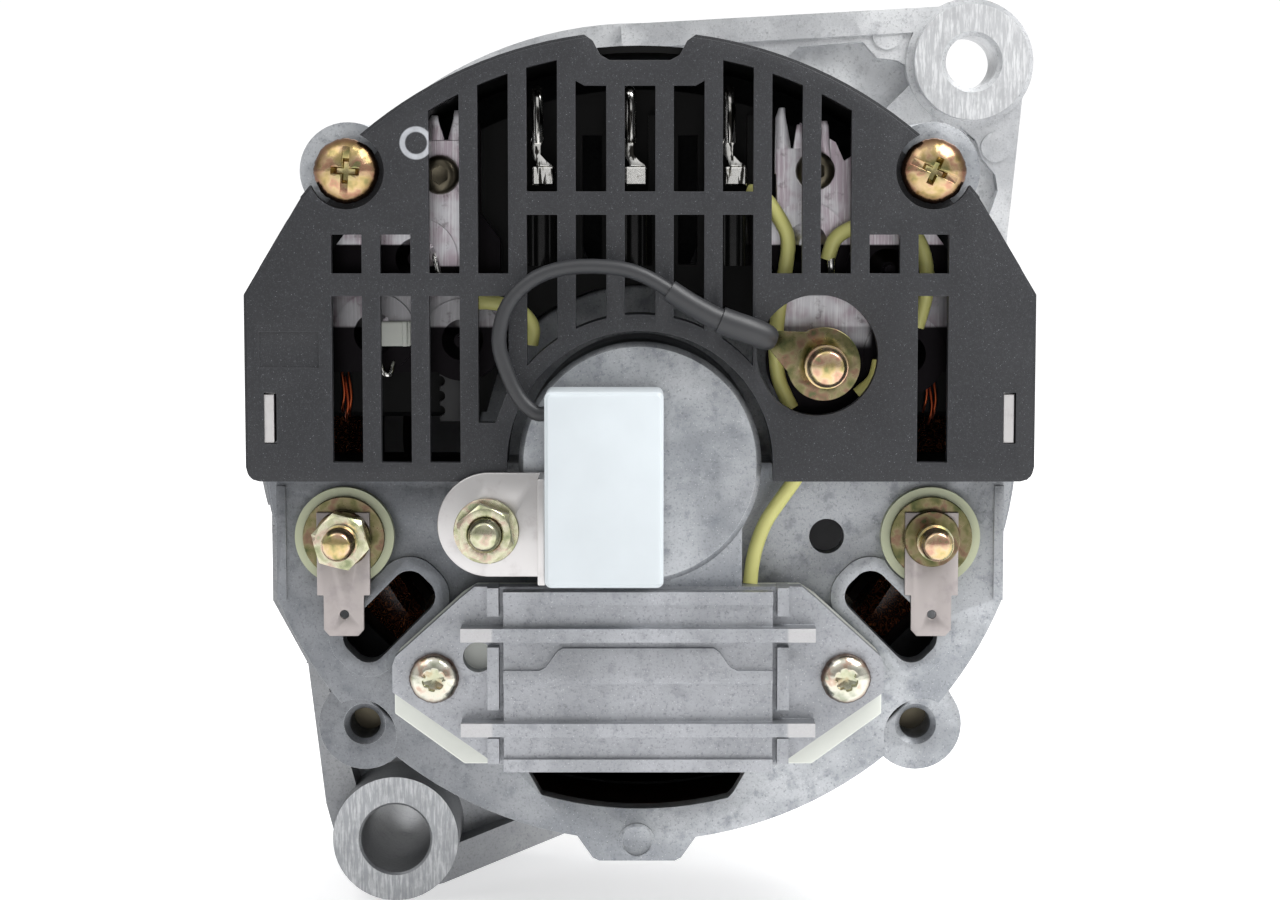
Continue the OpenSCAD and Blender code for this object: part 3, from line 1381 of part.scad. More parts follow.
module fan() color([0.7, 0.68, 0.5]) {
  difference() {
    rod(fan_d, fan_d + fan_t, fan_r - 3);
    rod(fan_d - 1, fan_d + fan_t + 1, front_bore / 2);
    slab(fan_d - 1, fan_d + fan_t + 1) translate([-2, 0]) square([4, front_bore / 2 + 1.9]);
  }
  around(fan_n) translate([0, 0, 30]) rotate([0, 18, 0]) slab(fan_d - blade_h, fan_d + fan_t / 2) difference() {
    intersection() {
      translate([-30, 0]) circle(r = 30 + fan_t / 2);
      translate([-10, 0]) square([30, 25]);
    }
    translate([-30, 0]) circle(r = 30 - fan_t / 2);
  }
}
module spacer_ring() color([0.62, 0.62, 0.64]) difference() {
  rod(front_bearing_end, fan_d, 11.5);
  rod(front_bearing_end - 1, fan_d + 1, front_bore / 2);
}
module pulley_half(side) {
  edge = groove_d + side * pulley_flange_t;
  hub = side < 0 ? pulley_hub_d : edge;
  difference() {
    turned() polygon([
      [front_bore / 2, hub], [15, hub], [15, edge], [pulley_r, edge],
      [pulley_r, groove_d + side * groove_half], [groove_root_r, groove_d + side * groove_root_half],
      [groove_root_r, groove_d], [front_bore / 2, groove_d]]);
    slab(pulley_hub_d - 1, pulley_end + 1) translate([-2, 0]) square([4, front_bore / 2 + 1.9]);
    around(4, 45) rod(pulley_hub_d - 1, pulley_end + 1, 3.5, 0, 21);
  }
}
module pulley_rear_half() color([0.68, 0.66, 0.55]) pulley_half(-1);
module pulley_front_half() color([0.68, 0.66, 0.55]) pulley_half(1);
module shaft_nut() color([0.62, 0.62, 0.62]) {
  difference() {
    rod(pulley_end, pulley_end + 2.4, 14);
    rod(pulley_end - 1, pulley_end + 3, 8);
  }
  mirror([0, 1, 0]) translate([0, 2 * groove_d - 2 * (pulley_end + 2.4) - nut_h + 2.4, 0])
    hex_nut(pulley_end + 2.4, pulley_end + nut_h, 24, 8, 0, 0, 8);
}

// Brushes and their springs
module brush(d) {
  difference() {
    slab(d - brush_t / 2, d + brush_t / 2) translate([-brush_w / 2, -ring_r - brush_len])
      square([brush_w, brush_len + 1]);
    rod(d - 10, d + 10, ring_r + 0.05);
  }
}
module inner_brush() color([0.2, 0.19, 0.19]) brush(ring_2_d);
module outer_brush() color([0.2, 0.19, 0.19]) brush(ring_1_d);
spring_r = 1.9;
spring_turns = 5;
spring_len = -ring_r - brush_len - holder_floor_z;
function spring_path(d) = [
  for (i = [0 : 12 * spring_turns])
    [spring_r * cos(30 * i), d + spring_r * sin(30 * i),
     holder_floor_z + 0.35 + (spring_len - 0.7) * i / (12 * spring_turns)]
];
module spring(d) {
  path = spring_path(d);
  sides = 6;
  count = len(path);
  points = [
    for (i = [0 : count - 1])
      let (t = tangent(path, i), u = unit(cross(t, [0, 0, 1])), v = cross(t, u))
        for (k = [0 : sides - 1])
          path[i] + 0.3 * (cos(k * 60) * u + sin(k * 60) * v)
  ];
  walls = [
    for (i = [0 : count - 2], k = [0 : sides - 1])
      let (a = i * sides + k, b = i * sides + (k + 1) % sides)
        each [[a, a + sides, b], [b, a + sides, b + sides]]
  ];
  translate([0, -groove_d, 0]) polyhedron(points, concat(walls,
    [[for (k = [0 : sides - 1]) k], [for (k = [sides - 1 : -1 : 0]) (count - 1) * sides + k]]));
}
module inner_brush_spring() color([0.6, 0.6, 0.6]) spring(ring_2_d);
module outer_brush_spring() color([0.6, 0.6, 0.6]) spring(ring_1_d);

rear_bracket();
front_bracket();
stator_core();
stator_winding();
through_bolts();
rear_cover();
cover_screws();
rectifier_plate_negative();
rectifier_plate_positive();
power_diodes();
terminal_strip();
phase_terminals();
exciter_diodes();
rectifier_screws();
output_stud();
output_insulator();
output_nut();
terminal_studs();
terminal_insulators();
terminal_washers();
left_blade();
right_blade();
terminal_nuts();
capacitor_case();
capacitor_bracket();
capacitor_stud();
capacitor_nut();
capacitor_lead();
lead_sleeve();
lead_ring();
regulator_heatsink();
regulator_base();
regulator_screws();
brush_holder();
yellow_leads();
rear_bearing_outer();
rear_bearing_inner();
rear_bearing_cage();
front_bearing_outer();
front_bearing_inner();
front_bearing_cage();
bearing_retainer();
retainer_screws();
shaft();
rear_claw_pole();
front_claw_pole();
field_coil();
slip_rings();
slip_ring_hub();
fan();
spacer_ring();
pulley_rear_half();
pulley_front_half();
shaft_key();
shaft_nut();
inner_brush();
outer_brush();
inner_brush_spring();
outer_brush_spring();
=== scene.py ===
import math

import bmesh
import bpy
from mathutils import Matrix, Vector


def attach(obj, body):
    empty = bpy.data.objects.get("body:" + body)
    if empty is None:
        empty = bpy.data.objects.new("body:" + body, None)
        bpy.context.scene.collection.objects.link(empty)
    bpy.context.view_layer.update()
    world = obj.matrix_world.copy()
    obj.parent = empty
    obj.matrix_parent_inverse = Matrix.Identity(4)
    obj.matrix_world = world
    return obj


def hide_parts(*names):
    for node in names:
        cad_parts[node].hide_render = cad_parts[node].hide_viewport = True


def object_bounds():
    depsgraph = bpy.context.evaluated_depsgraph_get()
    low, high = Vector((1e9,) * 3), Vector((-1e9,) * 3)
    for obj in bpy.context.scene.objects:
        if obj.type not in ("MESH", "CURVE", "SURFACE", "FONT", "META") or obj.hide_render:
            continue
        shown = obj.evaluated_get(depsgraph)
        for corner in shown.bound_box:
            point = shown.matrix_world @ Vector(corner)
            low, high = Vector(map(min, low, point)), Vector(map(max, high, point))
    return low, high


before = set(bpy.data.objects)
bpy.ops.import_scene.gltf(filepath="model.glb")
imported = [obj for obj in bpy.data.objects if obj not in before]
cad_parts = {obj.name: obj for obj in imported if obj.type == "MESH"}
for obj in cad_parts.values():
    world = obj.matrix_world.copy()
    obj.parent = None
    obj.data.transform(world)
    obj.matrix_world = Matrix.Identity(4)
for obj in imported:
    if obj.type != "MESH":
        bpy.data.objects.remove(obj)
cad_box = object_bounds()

MM = 0.001
GROOVE = 146.35  # depth of the belt groove behind the cover's face
HOUSING = "housing"
ROTOR = "rotor"


def at(x, depth, z):
    """Point in metres from rear-view millimetres: across, depth behind the cover's face, up."""
    return Vector((x * MM, (depth - GROOVE) * MM, z * MM))


# Camera of the photograph
camera = bpy.data.objects.new("camera", bpy.data.cameras.new("camera"))
bpy.context.scene.collection.objects.link(camera)
camera.data.sensor_width = 36
camera.data.lens = 81.5625
camera.data.clip_start = 0.01
camera.location = (0, -0.58635, 0.0446)
camera.rotation_euler = (math.radians(84.49), 0, 0)
bpy.context.scene.camera = camera


# Capacitor lead, along the points of its solid
LEAD_DEPTH = -3
LEAD_RADIUS = 1.15
LEAD_POINTS = [
    (-14.25, 0, 8), (-15.9, 0, 8.1), (-18.4, 0, 10.6), (-20.4, 0, 15), (-21.3, 0, 19),
    (-20.4, 0, 23.4), (-18, 0, 26.8), (-14.2, 0, 29.2), (-9, 0, 30.2), (-3, -0.2, 29.9),
    (1, -0.3, 28.6), (4.4, -0.4, 26.6),
]
SLEEVE_POINTS = [
    (4.4, -0.4, 26.6), (8, -0.4, 24.3), (12, -0.3, 22.2), (16.4, 0, 20.6), (20.2, 1.3, 19),
]


def smooth_route(points, steps):
    """Points of one smooth curve through the given ones."""
    route = []
    for i in range(len(points) - 1):
        a, b = points[max(i - 1, 0)], points[i]
        c, e = points[i + 1], points[min(i + 2, len(points) - 1)]
        for j in range(steps):
            t = j / steps
            route.append(tuple(
                0.5 * (2 * q + (r - p) * t + (2 * p - 5 * q + 4 * r - s) * t * t
                       + (3 * q - p - 3 * r + s) * t ** 3)
                for p, q, r, s in zip(a, b, c, e)))
    return route + [points[-1]]


def flexible(name, route, radii):
    """A round bendy piece along a route in metres, with a radius in millimetres at each point."""
    line = bpy.data.curves.new(name, "CURVE")
    line.dimensions = "3D"
    line.bevel_depth = 1
    line.bevel_resolution = 5
    line.use_fill_caps = True
    spline = line.splines.new("POLY")
    spline.points.add(len(route) - 1)
    for point, place, radius in zip(spline.points, route, radii):
        point.co = (*place, 1)
        point.radius = radius * MM
    piece = bpy.data.objects.new(name, line)
    bpy.context.scene.collection.objects.link(piece)
    return piece


lead_route = [at(x, LEAD_DEPTH + d, z) for x, d, z in smooth_route(LEAD_POINTS, 3)]
lead = flexible("capacitor_lead_cord", lead_route, [LEAD_RADIUS] * len(lead_route))
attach(lead, HOUSING)
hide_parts("capacitor_lead")


# Selecting and modelling
def deselect():
    if bpy.context.object and bpy.context.object.mode != "OBJECT":
        bpy.ops.object.mode_set(mode="OBJECT")
    bpy.ops.object.select_all(action="DESELECT")


def take(piece):
    """Makes a piece the only selected and the active one."""
    deselect()
    piece.select_set(True)
    bpy.context.view_layer.objects.active = piece
    return piece


def edit(piece):
    take(piece)
    bpy.ops.object.mode_set(mode="EDIT")
    bpy.ops.mesh.select_mode(type="VERT")
    bpy.ops.mesh.select_all(action="SELECT")


def apply(piece, kind, **settings):
    """Adds a modifier with its settings and applies it."""
    take(piece)
    modifier = piece.modifiers.new(kind.title(), kind)
    for key, value in settings.items():
        setattr(modifier, key, value)
    bpy.ops.object.modifier_apply(modifier=modifier.name)
    return piece


def soften(piece, width, segments=2, angle=28, edge_slot=-1):
    """Rounds the edges of a piece by a width in millimetres, with a finish slot for the new faces."""
    apply(piece, "BEVEL", width=width * MM, segments=segments, limit_method="ANGLE",
          angle_limit=math.radians(angle), use_clamp_overlap=True, material=edge_slot)
    return piece


def smooth(piece, angle=35):
    take(piece)
    bpy.ops.object.shade_smooth_by_angle(angle=math.radians(angle))
    return piece


def settle(piece, name, finish, node=None, body=HOUSING):
    """Names a piece, gives it its finish and body, and lets it stand for its CAD node."""
    piece.name = name
    piece.data.name = name
    if not piece.data.materials:
        piece.data.materials.append(finish)
    piece.data.materials[0] = finish
    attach(piece, body)
    if node:
        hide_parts(node)
    return piece


def casting(node, width, angle=28, edges=None):
    """Copy of a CAD node, merged, cleaned and with its edges rounded, worn and given a painted highlight."""
    piece = bpy.data.objects.new(node + "_shape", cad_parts[node].data.copy())
    bpy.context.scene.collection.objects.link(piece)
    piece.data.materials.clear()
    edit(piece)
    bpy.ops.mesh.remove_doubles(threshold=0.00001)
    bpy.ops.mesh.dissolve_limited(angle_limit=math.radians(1.5))
    bpy.ops.object.mode_set(mode="OBJECT")
    for face in piece.data.polygons:
        face.material_index = 0
    if edges:
        piece.data.materials.append(edges)
        piece.data.materials.append(edges)
    if width:
        soften(piece, width, angle=angle, edge_slot=1 if edges else -1)
    return smooth(piece)


def face_finish(piece, finish, test):
    """Gives the faces whose centre in rear-view millimetres and normal pass a test their own finish."""
    piece.data.materials.append(finish)
    last = len(piece.data.materials) - 1
    for face in piece.data.polygons:
        x, y, z = face.center
        if test(x / MM, y / MM + GROOVE, z / MM, face.normal):
            face.material_index = last


def ribbon(name, points, thickness, edge=0.1):
    """Bent strip of sheet through points of (x, depth, z, width), with its broad side facing back."""
    deselect()
    x, depth, z, width = points[0]
    bpy.ops.mesh.primitive_plane_add(size=1, location=at(x, depth, z))
    piece = bpy.context.object
    piece.scale = (width * MM, MM, MM)
    bpy.ops.object.transform_apply(location=True, rotation=True, scale=True)
    edit(piece)
    bpy.ops.mesh.select_all(action="DESELECT")
    strip = bmesh.from_edit_mesh(piece.data)
    for vertex in strip.verts:
        vertex.select = vertex.co.y > at(x, depth, z).y
    strip.select_flush(True)
    bpy.ops.mesh.delete(type="VERT")
    bpy.ops.mesh.select_all(action="SELECT")
    bpy.ops.transform.translate(value=(0, 0.5 * MM, 0))
    for a, b in zip(points, points[1:]):
        step = at(b[0], b[1], b[2]) - at(a[0], a[1], a[2])
        bpy.ops.mesh.extrude_edges_move(TRANSFORM_OT_translate={"value": tuple(step)})
        bpy.ops.transform.resize(value=(b[3] / a[3], 1, 1), center_override=at(b[0], b[1], b[2]))
    bpy.ops.object.mode_set(mode="OBJECT")
    apply(piece, "SOLIDIFY", thickness=thickness * MM, offset=0)
    edit(piece)
    bpy.ops.mesh.normals_make_consistent(inside=False)
    bpy.ops.object.mode_set(mode="OBJECT")
    soften(piece, edge, 2)
    piece.name = name
    return smooth(piece)


def turned(name, x, z, rings, sides=48, turn=0):
    """Turned piece along the shaft's direction, through rings of (depth, radius) in order."""
    deselect()
    depth, radius = rings[0]
    bpy.ops.mesh.primitive_circle_add(
        vertices=sides, radius=max(radius, 0.0001) * MM, fill_type="NOTHING",
        location=at(x, depth, z), rotation=(math.radians(90), math.radians(turn), 0))
    piece = bpy.context.object
    bpy.ops.object.transform_apply(location=True, rotation=True, scale=True)
    edit(piece)
    for (d0, r0), (d1, r1) in zip(rings, rings[1:]):
        bpy.ops.mesh.extrude_edges_move(TRANSFORM_OT_translate={"value": (0, (d1 - d0) * MM, 0)})
        share = max(r1, 0.0001) / max(r0, 0.0001)
        if share != 1:
            bpy.ops.transform.resize(value=(share, 1, share), center_override=at(x, d1, z))
    bpy.ops.mesh.select_all(action="SELECT")
    bpy.ops.mesh.remove_doubles(threshold=0.000001)
    bpy.ops.mesh.normals_make_consistent(inside=False)
    bpy.ops.object.mode_set(mode="OBJECT")
    piece.name = name
    return piece


def block(name, centre, size, turn=0, width=0):
    """Block with its centre as (x, depth, z) and its size in millimetres, turned about the depth."""
    deselect()
    bpy.ops.mesh.primitive_cube_add(size=1, location=at(*centre), rotation=(0, math.radians(turn), 0))
    piece = bpy.context.object
    piece.scale = Vector(size) * MM
    bpy.ops.object.transform_apply(location=True, rotation=True, scale=True)
    if width:
        soften(piece, width)
    piece.name = name
    return piece


def carve(piece, cutter, how="DIFFERENCE"):
    """Cuts a piece with another one, or keeps what they share."""
    apply(piece, "BOOLEAN", operation=how, object=cutter, solver="EXACT")
    bpy.data.objects.remove(cutter)
    return piece


def select_where(piece, test):
    """In edit mode, also selects the faces whose centre and normal pass a test."""
    faces = bmesh.from_edit_mesh(piece.data)
    for face in faces.faces:
        if test(face.calc_center_median(), face.normal):
            face.select_set(True)
    bmesh.update_edit_mesh(piece.data)


def joined(pieces):
    """Several pieces as one mesh."""
    deselect()
    for piece in pieces:
        piece.select_set(True)
    bpy.context.view_layer.objects.active = pieces[0]
    if len(pieces) > 1:
        bpy.ops.object.join()
    return bpy.context.view_layer.objects.active


# Shader maths
class Amount:
    """A number or colour inside a finish, written with plain operators."""

    def __init__(self, finish, socket):
        self.finish, self.socket = finish, socket

    def math(self, kind, *others, clamp=False):
        return self.finish.value("ShaderNodeMath", {"operation": kind, "use_clamp": clamp}, [self, *others])

    def _back(self, kind, other):
        return self.finish.value("ShaderNodeMath", {"operation": kind}, [other, self])

    def __add__(self, other):
        return self.math("ADD", other)

    __radd__ = __add__

    def __mul__(self, other):
        return self.math("MULTIPLY", other)

    __rmul__ = __mul__

    def __sub__(self, other):
        return self.math("SUBTRACT", other)

    def __rsub__(self, other):
        return self._back("SUBTRACT", other)

    def __truediv__(self, other):
        return self.math("DIVIDE", other)

    def __pow__(self, other):
        return self.math("POWER", other)

    def between(self, low, high):
        """0 below low, 1 above high, smooth in between."""
        return self.finish.value(
            "ShaderNodeMapRange", {"interpolation_type": "SMOOTHSTEP"}, [self, low, high, 0.0, 1.0])


class Finish:
    """A surface finish made of nodes, in object coordinates, with sizes in millimetres."""

    def __init__(self, name):
        self.material = bpy.data.materials.new(name)
        self.material.use_nodes = True
        self.tree = self.material.node_tree
        self.tree.nodes.clear()
        self.place = self.value("ShaderNodeTexCoord", {}, {}, "Object")
        self.relief = None

    def node(self, kind, settings, inputs):
        made = self.tree.nodes.new(kind)
        for key, value in settings.items():
            if key == "stops":
                stops = made.color_ramp.elements
                while len(stops) < len(value):
                    stops.new(0.5)
                for stop, (position, colour) in zip(stops, value):
                    stop.position = position
                    stop.color = (*colour, 1)
            else:
                setattr(made, key, value)
        pairs = inputs.items() if isinstance(inputs, dict) else enumerate(inputs)
        for key, value in pairs:
            if isinstance(value, Amount):
                self.tree.links.new(value.socket, made.inputs[key])
            elif value is not None:
                made.inputs[key].default_value = value
        return made

    def value(self, kind, settings, inputs, output=0):
        return Amount(self, self.node(kind, settings, inputs).outputs[output])

    def stretched(self, across, depth, up, turn=(0, 0, 0)):
        return self.value("ShaderNodeMapping", {}, {
            "Vector": self.place, "Scale": (across, depth, up), "Rotation": turn})

    def noise(self, size, detail=2.0, rough=0.5, place=None):
        return self.value("ShaderNodeTexNoise", {}, {
            "Vector": place or self.place, "Scale": 1 / (size * MM), "Detail": detail, "Roughness": rough})

    def cells(self, size, feature="F1", place=None):
        return self.value("ShaderNodeTexVoronoi", {"feature": feature}, {
            "Vector": place or self.place, "Scale": 1 / (size * MM)})

    def part(self, axis):
        """Coordinate along x, y or z, in metres."""
        split = self.node("ShaderNodeSeparateXYZ", {}, [self.place])
        return Amount(self, split.outputs[axis])

    def mix(self, mask, low, high):
        def colour(c):
            return c if isinstance(c, Amount) else (*c, 1)
        made = self.node("ShaderNodeMix", {"data_type": "RGBA"}, {"Factor": mask})
        for socket, given in ((made.inputs[6], colour(low)), (made.inputs[7], colour(high))):
            if isinstance(given, Amount):
                self.tree.links.new(given.socket, socket)
            else:
                socket.default_value = given
        return Amount(self, made.outputs[2])

    def ramp(self, mask, stops):
        return self.value("ShaderNodeValToRGB", {"stops": stops}, [mask])

    def raise_by(self, height, amount, strength=1.0):
        """Adds a bump whose full height is an amount in millimetres."""
        inputs = {"Height": height, "Strength": strength, "Distance": amount * MM}
        if self.relief:
            inputs["Normal"] = self.relief
        self.relief = self.value("ShaderNodeBump", {}, inputs)

    def surface(self, base, metal, rough, **fixed):
        inputs = {"Base Color": base if isinstance(base, Amount) else (*base, 1),
                  "Metallic": metal, "Roughness": rough}
        if self.relief:
            inputs["Normal"] = self.relief
        inputs.update(fixed)
        shader = self.value("ShaderNodeBsdfPrincipled", {}, inputs)
        self.node("ShaderNodeOutputMaterial", {}, [shader])
        return self.material


# Finishes
def painted_shade_under_cover(f):
    """Mask of painted shade: 1 where the rear casting lies in the dark below the cover, 0 where it is seen from
    outside.
    """
    across, depth, up = f.part(0) / MM, f.part(1) / MM + GROOVE, f.part(2) / MM
    reach = (across * across + up * up) ** 0.5
    sides = across.math("ABSOLUTE")
    lug_x, lug_z = sides - 44.5, up - 44.5
    lug = (lug_x * lug_x + lug_z * lug_z) ** 0.5
    notch = up.between(54, 55) * (1 - sides.between(8.5, 9))
    cover = up.between(-2.2, -1.2) * reach.between(25.6, 26.4) * lug.between(8.6, 8.9)
    cover = cover * (1 - depth.between(27, 29)) * (1 - notch) * (1 - sides.between(55.4, 56.0))
    hollow = depth.between(15.4, 16.4) * (1 - reach.between(59.2, 59.9)) * reach.between(27, 28)
    return cover.math("MAXIMUM", hollow)


def cast_aluminium(name, dull, bright, stain, dark=None):
    """Sand and die cast aluminium: cloudy stains, crystal spangle, a fine grain and tiny specks, with painted shade
    towards the lower left and, for the inside kind, under the cover.
    """
    f = Finish(name)
    clouds = f.noise(16, 4, 0.6)
    patches = f.noise(2.6, 4, 0.66)
    grain = f.noise(0.42, 3, 0.7)
    spangle = f.cells(1.3)
    specks = f.cells(0.5)
    base = f.mix(clouds.between(0.36, 0.64), dull, bright)
    base = f.mix(patches.between(0.50, 0.72) * 0.6, base, stain)
    base = f.mix(grain.between(0.52, 0.72) * 0.5, base, tuple(c * 0.55 for c in stain))
    base = f.mix((1 - specks).between(0.84, 0.96) * 0.6, base, (0.90, 0.91, 0.92))
    f.raise_by(spangle, 0.03, 0.3)
    f.raise_by(patches, 0.10, 0.5)
    f.raise_by(grain, 0.05, 0.8)
    rough = 0.32 + 0.2 * clouds + 0.16 * grain
    metal = 0.9
    across, depth, up = f.part(0) / MM, f.part(1) / MM + GROOVE, f.part(2) / MM
    if dark != "fin_ends":
        # Painted shade: darker towards the lower left and, more faintly, the lower right, where the key light falls
        # off; patchy with the clouds.
        painted_falloff_shade = (1 - across.between(-34, 6)) * (1 - up.between(-6, 3)) * (0.42 + 0.3 * clouds)
        painted_falloff_shade = painted_falloff_shade + 0.3 * up.between(-30, -12) * (1 - up.between(-4, 3)) * across.between(0, 20)
        base = f.mix(painted_falloff_shade, base, (0.085, 0.09, 0.10))
    if dark == "inside":
        # Painted shade: near black where the rear casting lies under the cover and in its hollow.
        base = f.mix(painted_shade_under_cover(f) * 0.97, base, (0.004, 0.004, 0.004))
    if dark == "fin_ends":
        ends = across.math("ABSOLUTE").between(22.4, 22.9) * (1 - depth.between(-1.2, -0.9))
        base = f.mix(ends * 0.7, base, (0.62, 0.61, 0.61))
    return f.surface(base, metal, rough, **{"Specular IOR Level": 0.12})


def worn_and_highlit_edge(name, colour, covered=False):
    """Polished high edges of a casting, lightened partly by wear and partly as painted highlight, broken by its grain.
    """
    f = Finish(name)
    grain = f.noise(1.1, 4, 0.65)
    base = f.mix(grain.between(0.40, 0.66), tuple(c * 0.70 for c in colour), colour)
    # Painted shade: near black on edges that lie under the cover.
    if covered:
        base = f.mix(painted_shade_under_cover(f) * 0.95, base, (0.004, 0.004, 0.004))
    f.raise_by(grain, 0.05, 0.6)
    return f.surface(base, 0.9, 0.30 + 0.22 * grain)


def machined_aluminium(name, low, high):
    """Milled lug face with near-vertical tool marks."""
    f = Finish(name)
    marks = f.noise(0.38, 3, 0.7, f.stretched(1, 1, 0.10, (0, math.radians(-24), 0)))
    blots = f.noise(4, 4, 0.65)
    base = f.mix(marks.between(0.42, 0.64), low, high)
    base = f.mix(blots.between(0.48, 0.66) * 0.45, base, tuple(c * 0.78 for c in low))
    f.raise_by(marks, 0.04, 0.7)
    return f.surface(base, 0.9, 0.30 + 0.2 * marks)


def moulded_black(name="cover_moulding", worn=0.0):
    """Glass-filled moulding of the rear cover: charcoal with a fine sparkle and one worn ink ring."""
    f = Finish(name)
    grain = f.noise(0.34, 3, 0.7)
    sparkle = f.cells(0.38)
    fibres = f.cells(0.28)
    cloud = f.noise(9, 4, 0.55)
    base = f.mix(cloud, (0.013, 0.0135, 0.016), (0.022, 0.023, 0.0265))
    base = f.mix(grain.between(0.45, 0.75) * 0.5, base, (0.045, 0.047, 0.053))
    base = f.mix((1 - fibres).between(0.72, 0.95) * 0.35, base, (0.13, 0.135, 0.15))
    base = f.mix((1 - sparkle).between(0.84, 0.96) * grain.between(0.40, 0.65), base, (0.33, 0.34, 0.37))
    base = f.mix(worn, base, (0.05, 0.052, 0.057))
    across, up = (f.part(0) + 33.8 * MM) / MM, (f.part(2) - 48.7 * MM) / MM
    reach = (across * across + up * up) ** 0.5
    ink = reach.between(1.55, 1.8) * (1 - reach.between(2.35, 2.6)) * (0.35 + 0.5 * f.noise(1.2, 3, 0.6))
    base = f.mix(ink, base, (0.62, 0.64, 0.68))
    f.raise_by(grain, 0.07, 0.7)
    f.raise_by(fibres, 0.03, 0.4)
    return f.surface(base, 0.0, 0.46 + 0.16 * grain, **{"Specular IOR Level": 0.45})


def plain_moulding(name, colour, rough, size=1.2, gloss=0.5):
    """Plain moulded plastic with a faint cloud and a soft skin."""
    f = Finish(name)
    cloud = f.noise(8, 3, 0.5)
    skin = f.noise(size, 2, 0.5)
    dark = tuple(c * 0.86 for c in colour)
    f.raise_by(skin, 0.015, 0.35)
    return f.surface(f.mix(cloud, dark, colour), 0.0, rough + 0.08 * skin, **{"Specular IOR Level": gloss})


def tin_with_painted_reflections(name):
    """Freshly tinned ends: mirror bright, with painted reflection as near-black streaks along the piece."""
    f = Finish(name)
    streaks = f.noise(0.8, 2, 0.6, f.stretched(1, 1, 0.14))
    blots = f.noise(1.1, 3, 0.6)
    # Painted reflection: near-black streaks along the piece, mixed with bright tin.
    base = f.mix(streaks.between(0.40, 0.47), (0.03, 0.028, 0.025), (0.84, 0.83, 0.80))
    base = f.mix(blots.between(0.56, 0.72) * 0.6, base, (0.26, 0.24, 0.19))
    f.raise_by(streaks, 0.05, 0.5)
    return f.surface(base, 1.0, 0.14 + 0.12 * blots)


def yellow_zinc(name, stops, rim=None, rough=0.16):
    """Chromated zinc plate: drifts softly between its colours, and darker round the rim of a screw as painted shade.
    """
    f = Finish(name)
    drift = f.noise(2.3, 2, 0.5)
    fine = f.noise(0.5, 3, 0.6)
    base = f.ramp(drift, stops)
    base = f.mix(fine.between(0.60, 0.85) * 0.3, base, (0.14, 0.09, 0.05))
    if rim:
        x, z, inner, outer = rim
        across, up = f.part(0).math("ABSOLUTE") / MM - x, f.part(2) / MM - z
        reach = (across * across + up * up) ** 0.5
        # Painted shade: the outer part of the screw head darkens.
        base = f.mix(reach.between(inner, outer) * 0.9, base, (0.11, 0.045, 0.025))
        base = f.mix((1 - reach.between(0.6, 2.6)) * 0.5, base, (0.34, 0.36, 0.16))
    f.raise_by(fine, 0.006, 0.4)
    return f.surface(base, 1.0, rough + 0.14 * fine)


def tarnished_sheet(name):
    """Rectifier plates: tinned steel, brushed up and down, tinted pink and grey, and painted near black as shade
    except along a painted highlight line and two part-lit patches.
    """
    f = Finish(name)
    lines = f.noise(0.35, 4, 0.7, f.stretched(1, 1, 0.04))
    tint = f.noise(7, 3, 0.6)
    blots = f.noise(2.2, 4, 0.65)
    base = f.mix(tint.between(0.42, 0.58), (0.66, 0.65, 0.68), (0.50, 0.42, 0.47))
    base = f.mix(lines.between(0.44, 0.64) * 0.6, base, (0.86, 0.86, 0.87))
    base = f.mix(blots.between(0.56, 0.70) * 0.6, base, (0.20, 0.17, 0.18))
    # Painted light and shade: near black as painted shade, except a painted highlight line near the top, a part-lit
    # band lower down and a part-lit patch by the output.
    across, height = f.part(0) / MM, f.part(2) / MM
    column = across.between(-33.5, -33.0) * (1 - across.between(-1, 1))
    bright = (height - (33.2 - 3.3 * column)).between(-0.15, 0.15)
    band = (1 - height.between(25.2, 25.5)) * height.between(20.3, 20.8)
    output = across.between(18, 19) * (1 - across.between(35, 36)) * height.between(17, 19)
    output = output * (1 - height.between(25.2, 25.5))
    shaded = across.between(-27.2, -26.9) * (1 - across.between(-1, 1))
    lit = (bright * (1 - shaded) + band * 0.35 + output * 0.45).math("MINIMUM", 1.0)
    base = f.mix(lit, (0.005, 0.004, 0.005), base)
    f.raise_by(lines, 0.015, 0.6)
    return f.surface(base, 0.92, 0.24 + 0.2 * blots)


def bright_sheet(name, colour, rough, stain):
    """Tinned or nickelled sheet with faint stains and drawing lines."""
    f = Finish(name)
    lines = f.noise(0.5, 3, 0.6, f.stretched(1, 1, 0.08))
    blots = f.noise(3.5, 4, 0.65)
    base = f.mix(blots.between(0.5, 0.72) * 0.45, colour, stain)
    f.raise_by(lines, 0.01, 0.4)
    return f.surface(base, 0.92, rough + 0.14 * blots)


def steel(name, colour, rough=0.32):
    """Ground steel with fine turning marks along the shaft."""
    f = Finish(name)
    rings = f.noise(0.5, 2, 0.6, f.stretched(0.15, 1, 0.15))
    blots = f.noise(6, 3, 0.6)
    base = f.mix(blots.between(0.45, 0.75) * 0.4, colour, tuple(c * 0.62 for c in colour))
    f.raise_by(rings, 0.01, 0.35)
    return f.surface(base, 0.95, rough + 0.14 * rings)


